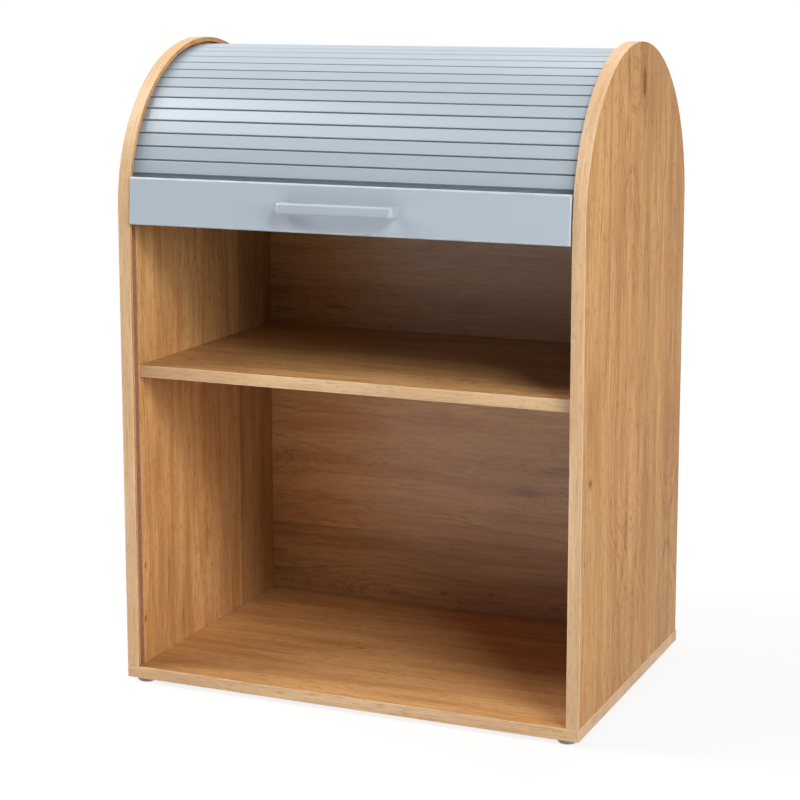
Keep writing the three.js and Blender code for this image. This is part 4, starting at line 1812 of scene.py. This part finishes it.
@dataclass
class RollerRail:
    """The end rail with its pull handle, guides and screws."""

    measures: Measures
    handle_width: float = 150 * MM
    handle_reach: float = 22 * MM
    handle_height: float = 13.5 * MM
    bar_thickness: float = 8.5 * MM
    leg_width: float = 10 * MM
    outer_radius: float = 7 * MM
    inner_radius: float = 3 * MM
    handle_round: float = 3.2 * MM
    seat_gap: float = 0.2 * MM
    rail_ease: float = 1.1 * MM
    pin_hole_clear: float = 3 * MM
    leg_stations: tuple[float, ...] = (2 * MM, 5 * MM)
    corner_steps: int = 10
    bar_steps: int = 8
    screw_head_diameter: float = 8 * MM
    screw_head_height: float = 2.4 * MM
    screw_head_room: float = 2.6 * MM
    screw_diameter: float = 4 * MM
    screw_pitch: float = 0.7 * MM
    recess_width: float = 0.9 * MM
    recess_height: float = 2.2 * MM
    guide_shank_radius: float = 2 * MM
    guide_collar: float = 15.7 * MM
    guide_round: float = 0.6 * MM

    def rail(self) -> None:
        """The rail, copied from its node with its long edges and corners rounded."""
        low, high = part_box("end_rail")
        pins = [middle(name) for name in ("upper_guide_left", "lower_guide_left")]

        def pick(edge: BMEdge) -> bool:
            """Picks the long edges, and the ends' outline but not the pin holes in it.

            Args:
                edge: An edge of the rail.

            Returns:
                Whether it is rounded.
            """
            ends = [vertex.co for vertex in edge.verts]
            if abs(ends[0].x - ends[1].x) > 0.5 * (high.x - low.x):
                return True
            at_end = all(min(abs(p.x - low.x), abs(p.x - high.x)) < TOUCH for p in ends)
            ways = [math.hypot(p.y - pin.y, p.z - pin.z) for p in ends for pin in pins]
            return at_end and min(ways) > self.pin_hole_clear

        shape = merged_copy("end_rail")
        ease_edges(shape, pick, self.rail_ease, 3)
        finish = Plastic("rail_satin", body=colour(167, 177, 187), roughness=0.34, spread=0.0, draw_lines=0.5)
        obj = mesh_object("shutter_rail", shape, [finish])
        even_normals(obj)
        settle(obj, "end_rail", "rail_plastic", "end_rail")

    def handle_stations(self) -> list[tuple[Vector, Vector]]:
        """Draws the handle from above.

        Returns:
            Pairs of inner and outer points from its left foot to its right one.
        """
        half, front = self.handle_width / 2, -self.handle_reach
        inner_half, inner_front = half - self.leg_width, front + self.bar_thickness
        deep = [-self.seat_gap, *(-station for station in self.leg_stations)]
        legs = [(Vector((-inner_half, y)), Vector((-half, y))) for y in deep]
        inner_middle = Vector((-inner_half + self.inner_radius, inner_front + self.inner_radius))
        outer_middle = Vector((-half + self.outer_radius, front + self.outer_radius))
        corner = []
        for step in range(self.corner_steps + 1):
            angle = math.pi + math.pi / 2 * step / self.corner_steps
            way = Vector((math.cos(angle), math.sin(angle)))
            corner.append((inner_middle + way * self.inner_radius, outer_middle + way * self.outer_radius))
        start = corner[-1][0].x
        across = [start * (1 - 2 * step / self.bar_steps) for step in range(1, self.bar_steps)]
        bar = [(Vector((x, inner_front)), Vector((x, front))) for x in across]
        left = legs + corner
        right = [(Vector((-a.x, a.y)), Vector((-b.x, b.y))) for a, b in reversed(left)]
        return left + bar + right

    def handle(self) -> None:
        """The bridge handle as a rounded section swept from foot to foot."""
        place = self.measures.rail_place()
        rail_front = self.measures.box_on_rail("end_rail")[0].y
        low, high = self.measures.box_on_rail("pull_handle")
        centre = (low.z + high.z) / 2
        half = self.handle_height / 2
        radius = self.handle_round
        rings = []
        for inner, outer in self.handle_stations():
            deep = (outer - inner).length
            way = (outer - inner).normalized()
            section = filleted(
                [(0, -half, radius), (deep, -half, radius), (deep, half, radius), (0, half, radius)], 5,
            )
            rings.append([
                place @ Vector((inner.x + way.x * s, rail_front + inner.y + way.y * s, centre + z))
                for s, z in section
            ])
        finish = Plastic(
            "handle_satin", body=colour(161, 171, 179), worn=colour(190, 198, 206), roughness=0.3, spread=0.0,
            draw_lines=0.0, grain_scale=2600.0, grain_depth=0.012 * MM,
        )
        obj = mesh_object("rail_handle", loft(rings), [finish])
        even_normals(obj, math.radians(50))
        settle(obj, "end_rail", "rail_plastic", "pull_handle")

    def screw(self, length: float) -> Object:
        """Makes a pan-head screw with a cross recess, its head up along Z.

        Args:
            length: The length below the head.

        Returns:
            The screw, its seat at the origin.
        """
        head, shank = self.screw_head_diameter / 2, self.screw_diameter / 2
        thick, core = self.screw_head_height, shank * 0.8
        turns = [math.pi / 2 * step / 6 for step in range(6)]
        dome = [(head * math.cos(turn), 0.5 * thick + 0.5 * thick * math.sin(turn)) for turn in turns]
        ribs = []
        for step in range(int((length - 2 * shank) / self.screw_pitch)):
            height = -length + shank + step * self.screw_pitch
            ribs += [(core, height), (shank, height + self.screw_pitch / 2)]
        profile = [(0, -length), (core * 0.4, -length), *ribs, (shank, 0), (head, 0), *dome, (0, thick)]
        obj = mesh_object("screw_form", turned(profile, 24))
        for angle in (0.0, math.pi / 2):
            slot = bmesh.new()
            bmesh.ops.create_cube(slot, size=1.0)
            size = (head * 1.15, self.recess_width, self.recess_height)
            bmesh.ops.scale(slot, vec=size, verts=slot.verts)
            bmesh.ops.translate(slot, vec=(0, 0, thick), verts=slot.verts)
            bmesh.ops.rotate(slot, matrix=Matrix.Rotation(angle, 3, "Z"), verts=slot.verts)
            cut_away(obj, slot)
        return obj

    def screws(self) -> None:
        """The two screws that hold the handle, driven from behind the rail."""
        names = ["handle_screw_left", "handle_screw_right"]
        place = self.measures.rail_place()
        boxes = [self.measures.box_on_rail(name) for name in names]
        length = boxes[0][1].y - boxes[0][0].y
        head = self.screw_head_room
        seats = [
            place @ Vector(((low.x + high.x) / 2, high.y - head, (low.z + high.z) / 2)) for low, high in boxes
        ]
        obj = place_copies(
            "handle_screws", self.screw(length - head - self.seat_gap), seats, ZincSteel("zinc_screws"),
            turn=(-math.pi / 2 - self.measures.rail_tilt, 0.0, 0.0), spin=0.7, seed=5,
        )
        settle(obj, "end_rail", "zinc_steel", *names)

    def guide(self, node: str) -> Object:
        """Makes one guide pin about Z, its head up, as long as its node.

        Args:
            node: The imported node.

        Returns:
            The pin, its middle at the origin.
        """
        low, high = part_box(node)
        head, end = (high.z - low.z) / 2, (high.x - low.x) / 2
        shank, tip = self.guide_shank_radius, self.guide_round
        collar = self.guide_collar - end
        flare = max(head, shank + 0.01 * MM)
        profile = [
            (0, -end), (shank * 0.7, -end), (shank, tip - end), (shank, collar), (flare - tip / 2, collar),
            (flare, collar + tip / 2), (flare, end - tip), (flare - tip * 0.3, end - tip * 0.3),
            (flare - tip, end), (0, end),
        ]
        return mesh_object("guide_form", turned(profile, 24))

    def guides(self) -> None:
        """The guide pins that run in the grooves. The lower ones carry the rail, the upper ones steady it."""
        finish = Plastic("guide_satin", body=colour(228, 228, 222), worn=colour(206, 205, 198), spread=0.0)
        for level, body in (("lower", "guide_rollers"), ("upper", "end_rail")):
            nodes = [f"{level}_guide_left", f"{level}_guide_right"]
            left, right = [
                place_copies(
                    f"{level}_guides", self.guide(node), [middle(node)], finish,
                    turn=(0.0, side * math.pi / 2, 0.0),
                )
                for node, side in zip(nodes, (-1, 1))
            ]
            absorb(left, right)
            left.data.set_sharp_from_angle(angle=math.radians(32))
            settle(left, body, "guide_plastic", *nodes)

    def build(self) -> None:
        """Builds the rail and everything on it."""
        self.rail()
        self.handle()
        self.screws()
        self.guides()


@dataclass
class Fittings:
    """The feet, and the screws that hold the base to the side boards."""

    foot_tread: float = 11.0 * MM
    foot_round: float = 1.2 * MM
    foot_waist: tuple[tuple[float, float], ...] = (
        (0.5 * MM, 2.4 * MM), (0.0, 3.0 * MM), (0.0, 3.8 * MM), (0.4 * MM, 4.2 * MM), (1.4 * MM, 4.4 * MM),
        (1.6 * MM, 4.7 * MM),
    )
    foot_seat: float = 5.8 * MM
    spigot_radius: float = 4 * MM
    spigot_bevel: float = 1 * MM
    socket_width: float = 4 * MM
    socket_depth: float = 2.4 * MM
    head_radius: float = 4.7 * MM
    head_height: float = 2.8 * MM
    head_bevel: float = 0.4 * MM
    shank_radius: float = 3.2 * MM
    shank_taper: float = 0.6 * MM
    thread_radius: float = 2.5 * MM
    core_radius: float = 1.9 * MM
    thread_pitch: float = 2.2 * MM
    thread_shares: tuple[float, float, float] = (0.3, 0.62, 0.95)
    tip_length: float = 2 * MM
    tip_radius: float = 0.6 * MM

    def foot(self, node: str) -> Object:
        """Makes one glide about Z: a soft-edged pad, a waist and the spigot in the base.

        Args:
            node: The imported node.

        Returns:
            The glide, on the floor.
        """
        low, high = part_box(node)
        rim = (high.x - low.x) / 2
        ease, spigot, bevel = self.foot_round, self.spigot_radius, self.spigot_bevel
        turns = [math.pi / 2 * step / 4 for step in range(1, 5)]
        pad = [(self.foot_tread - ease * (1 - math.sin(a)), ease * (1 - math.cos(a))) for a in turns]
        waist = [(rim - inset, height) for inset, height in self.foot_waist]
        profile = [
            (0, 0), (self.foot_tread - ease, 0), *pad, *waist, (waist[-1][0], self.foot_seat),
            (spigot, self.foot_seat), (spigot, high.z - bevel), (spigot - bevel, high.z), (0, high.z),
        ]
        return mesh_object("foot_form", turned(profile, 48))

    def feet(self) -> None:
        """The four feet."""
        nodes = sorted(name for name in frame["nodes"] if name.startswith("foot_"))
        finish = Plastic(
            "foot_satin", body=colour(150, 146, 140), worn=colour(190, 186, 178), roughness=0.42,
            spread=0.0, draw_lines=0.0, grain_scale=900.0,
        )
        places = [middle(node) * Vector((1, 1, 0)) for node in nodes]
        obj = place_copies("feet", self.foot(nodes[0]), places, finish, spin=math.pi, seed=7)
        settle(obj, "carcass", "foot_plastic", *nodes)

    def base_screw(self, node: str) -> Object:
        """Makes one wide screw about Z, its head down with a six-sided socket.

        Args:
            node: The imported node.

        Returns:
            The screw, at its node's height.
        """
        low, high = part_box(node)
        head, shank, core = self.head_radius, self.shank_radius, self.core_radius
        bottom, head_top, shank_top = low.z, low.z + self.head_height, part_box("base_panel")[1].z
        ribs = []
        for step in range(int((high.z - 3 * MM - shank_top) / self.thread_pitch)):
            for radius, share in zip((core, self.thread_radius, core), self.thread_shares):
                ribs.append((radius, shank_top + (step + share) * self.thread_pitch))
        profile = [
            (0, bottom), (head - self.head_bevel, bottom), (head, bottom + self.head_bevel), (head, head_top),
            (shank, head_top), (shank, shank_top - self.shank_taper), (core, shank_top), *ribs,
            (core, high.z - self.tip_length), (self.tip_radius, high.z), (0, high.z),
        ]
        obj = mesh_object("base_screw_form", turned(profile, 24))
        reach = self.socket_width / 2 / math.cos(math.pi / 6)
        turns = [math.tau * step / 6 for step in range(6)]
        corners = [(reach * math.cos(turn), reach * math.sin(turn)) for turn in turns]
        heights = (bottom - self.socket_depth, bottom + self.socket_depth)
        cut_away(obj, loft([[Vector((x, y, z)) for x, y in corners] for z in heights]))
        return obj

    def base_screws(self) -> None:
        """The four screws up through the base."""
        nodes = sorted(name for name in frame["nodes"] if name.startswith("base_screw_"))
        places = [middle(node) * Vector((1, 1, 0)) for node in nodes]
        form, finish = self.base_screw(nodes[0]), ZincSteel("zinc_base_screws")
        obj = place_copies("base_screws", form, places, finish, spin=math.pi, seed=9)
        settle(obj, "carcass", "zinc_steel", *nodes)

    def build(self) -> None:
        """Builds the feet and the screws."""
        self.feet()
        self.base_screws()


@dataclass
class Softbox:
    """A square lamp that looks at the cabinet. Angles in degrees, from the front and up, and watts."""

    name: str
    azimuth: float
    elevation: float
    distance: float
    size: float
    power: float

    def build(self, target: Vector) -> None:
        """Hangs the lamp so that it looks at the target.

        Args:
            target: The target.
        """
        lamp = bpy.data.lights.new(self.name, "AREA")
        lamp.energy = self.power
        lamp.size = self.size
        turn, rise = math.radians(self.azimuth), math.radians(self.elevation)
        way = Vector((math.sin(turn) * math.cos(rise), -math.cos(turn) * math.cos(rise), math.sin(rise)))
        obj = bpy.data.objects.new(self.name, lamp)
        obj.location = target + way * self.distance
        obj.rotation_euler = (-way).to_track_quat("-Z", "Y").to_euler()
        bpy.context.scene.collection.objects.link(obj)


@dataclass
class Studio:
    """The floor, the lamps, the white surroundings and the camera at the photograph's angle."""

    camera_place: tuple[float, float, float] = (1.0033, -2.3633, 0.8686)
    camera_turn: float = 23.032
    camera_pitch: float = 9.175
    lens: float = 92.56
    shift: tuple[float, float] = (-0.0061, -0.10)
    floor_size: float = 80.0
    floor_glow: float = 0.86
    fade_start: float = 0.75
    fade_end: float = 1.5
    sweep_ahead: float = 1.6
    sweep_side: float = 2.2
    sweep_length: float = 3.0
    sweep_fade: tuple[float, float] = (0.94, 1.1)
    floor_colours: tuple[Colour, Colour, Colour] = (
        colour(230, 230, 230), colour(238, 238, 238), colour(90, 90, 90),
    )
    fill: float = 0.02
    lamps: tuple[Softbox, ...] = (
        Softbox("left_side_softbox", -95.0, 35.0, 4.0, 1.2, 64.0),
        Softbox("left_softbox", -78.0, 35.0, 4.0, 1.2, 82.0),
        Softbox("left_high_softbox", -62.0, 52.0, 4.0, 1.2, 58.0),
        Softbox("right_softbox", 48.0, 36.0, 4.0, 1.2, 86.0),
        Softbox("right_low_softbox", 65.0, 12.0, 4.0, 1.2, 61.0),
        Softbox("high_back_softbox", 180.0, 60.0, 4.0, 1.2, 48.0),
        Softbox("back_softbox", -148.0, 0.0, 4.0, 0.8, 40.0),
    )

    @staticmethod
    def seen(graph: Graph) -> NodeSocket:
        """Tells what is looked at from what is lit.

        Args:
            graph: The material's or the world's graph.

        Returns:
            1 for what the camera, a reflection or a clear pane looks at.
        """
        path = graph.add("ShaderNodeLightPath").outputs
        straight = graph.math("MAXIMUM", path["Is Camera Ray"], path["Is Glossy Ray"])
        return graph.math("MAXIMUM", straight, path["Is Transmission Ray"])

    def surroundings(self) -> None:
        """White to the eye, a low fill to the object."""
        world = bpy.data.worlds.new("surroundings")
        world.use_nodes = True
        world.node_tree.nodes.clear()
        graph = Graph(world.node_tree)
        strength = graph.blend(self.seen(graph), self.fill, 1.0)
        sky = graph.add("ShaderNodeBackground", {"Color": (1.0, 1.0, 1.0, 1.0), "Strength": strength})
        graph.add("ShaderNodeOutputWorld", {"Surface": sky.outputs[0]})
        bpy.context.scene.world = world

    def floor(self) -> None:
        """A pale floor that keeps a faint shadow and fades into the white."""
        shape = bmesh.new()
        bmesh.ops.create_grid(shape, x_segments=2, y_segments=2, size=self.floor_size / 2)
        obj = mesh_object("studio_floor", shape)
        made = bpy.data.materials.new("pale_floor")
        made.use_nodes = True
        made.node_tree.nodes.clear()
        graph = Graph(made.node_tree)
        place = graph.object_place()
        pale, paler, past_sweep = self.floor_colours
        cover = graph.tint(graph.noise(place, 2.0), pale, paler)
        back = graph.vector("ADD", place, (0.0, self.sweep_ahead, 0.0)).outputs["Vector"]
        size = (1 / self.sweep_side, 1 / self.sweep_length, 0.0)
        out = graph.vector("LENGTH", graph.vector("MULTIPLY", back, size).outputs["Vector"]).outputs["Value"]
        cover = graph.tint(graph.ease(out, *self.sweep_fade), cover, past_sweep)
        matt = graph.add("ShaderNodeBsdfDiffuse", {"Color": cover})
        white = graph.add("ShaderNodeEmission", {"Color": (1.0, 1.0, 1.0, 1.0), "Strength": 1.0})
        way = graph.vector("LENGTH", place).outputs["Value"]
        glow = graph.ease(way, self.fade_start, self.fade_end, self.floor_glow, 1.0)
        share = graph.times(self.seen(graph), glow)
        mix = graph.add("ShaderNodeMixShader", {0: share, 1: matt.outputs[0], 2: white.outputs[0]})
        graph.add("ShaderNodeOutputMaterial", {"Surface": mix.outputs[0]})
        obj.data.materials.append(made)

    def camera(self) -> None:
        """The camera, level with no roll, at the photograph's angle."""
        lens = bpy.data.cameras.new("camera")
        lens.sensor_width = 36.0
        lens.lens = self.lens
        lens.shift_x, lens.shift_y = self.shift
        lens.clip_start, lens.clip_end = 0.05, 60.0
        obj = bpy.data.objects.new("camera", lens)
        obj.location = self.camera_place
        obj.rotation_euler = (math.radians(90 - self.camera_pitch), 0.0, math.radians(self.camera_turn))
        bpy.context.scene.collection.objects.link(obj)
        bpy.context.scene.camera = obj

    def build(self) -> None:
        """Sets the studio up."""
        bpy.context.scene.view_settings.view_transform = "Standard"
        self.camera()
        self.surroundings()
        self.floor()
        target = (CAD_BOX[0] + CAD_BOX[1]) / 2
        for lamp in self.lamps:
            lamp.build(target)


def main() -> None:
    """Builds the studio and the cabinet in order."""
    logging.basicConfig(level=logging.INFO, format="%(name)s: %(message)s")
    measures = Measures.from_frame()
    Studio().build()
    Carcass().build()
    BackSheet(measures).build()
    Curtain(measures).build()
    RollerRail(measures).build()
    Fittings().build()


if __name__ == "__main__":
    main()
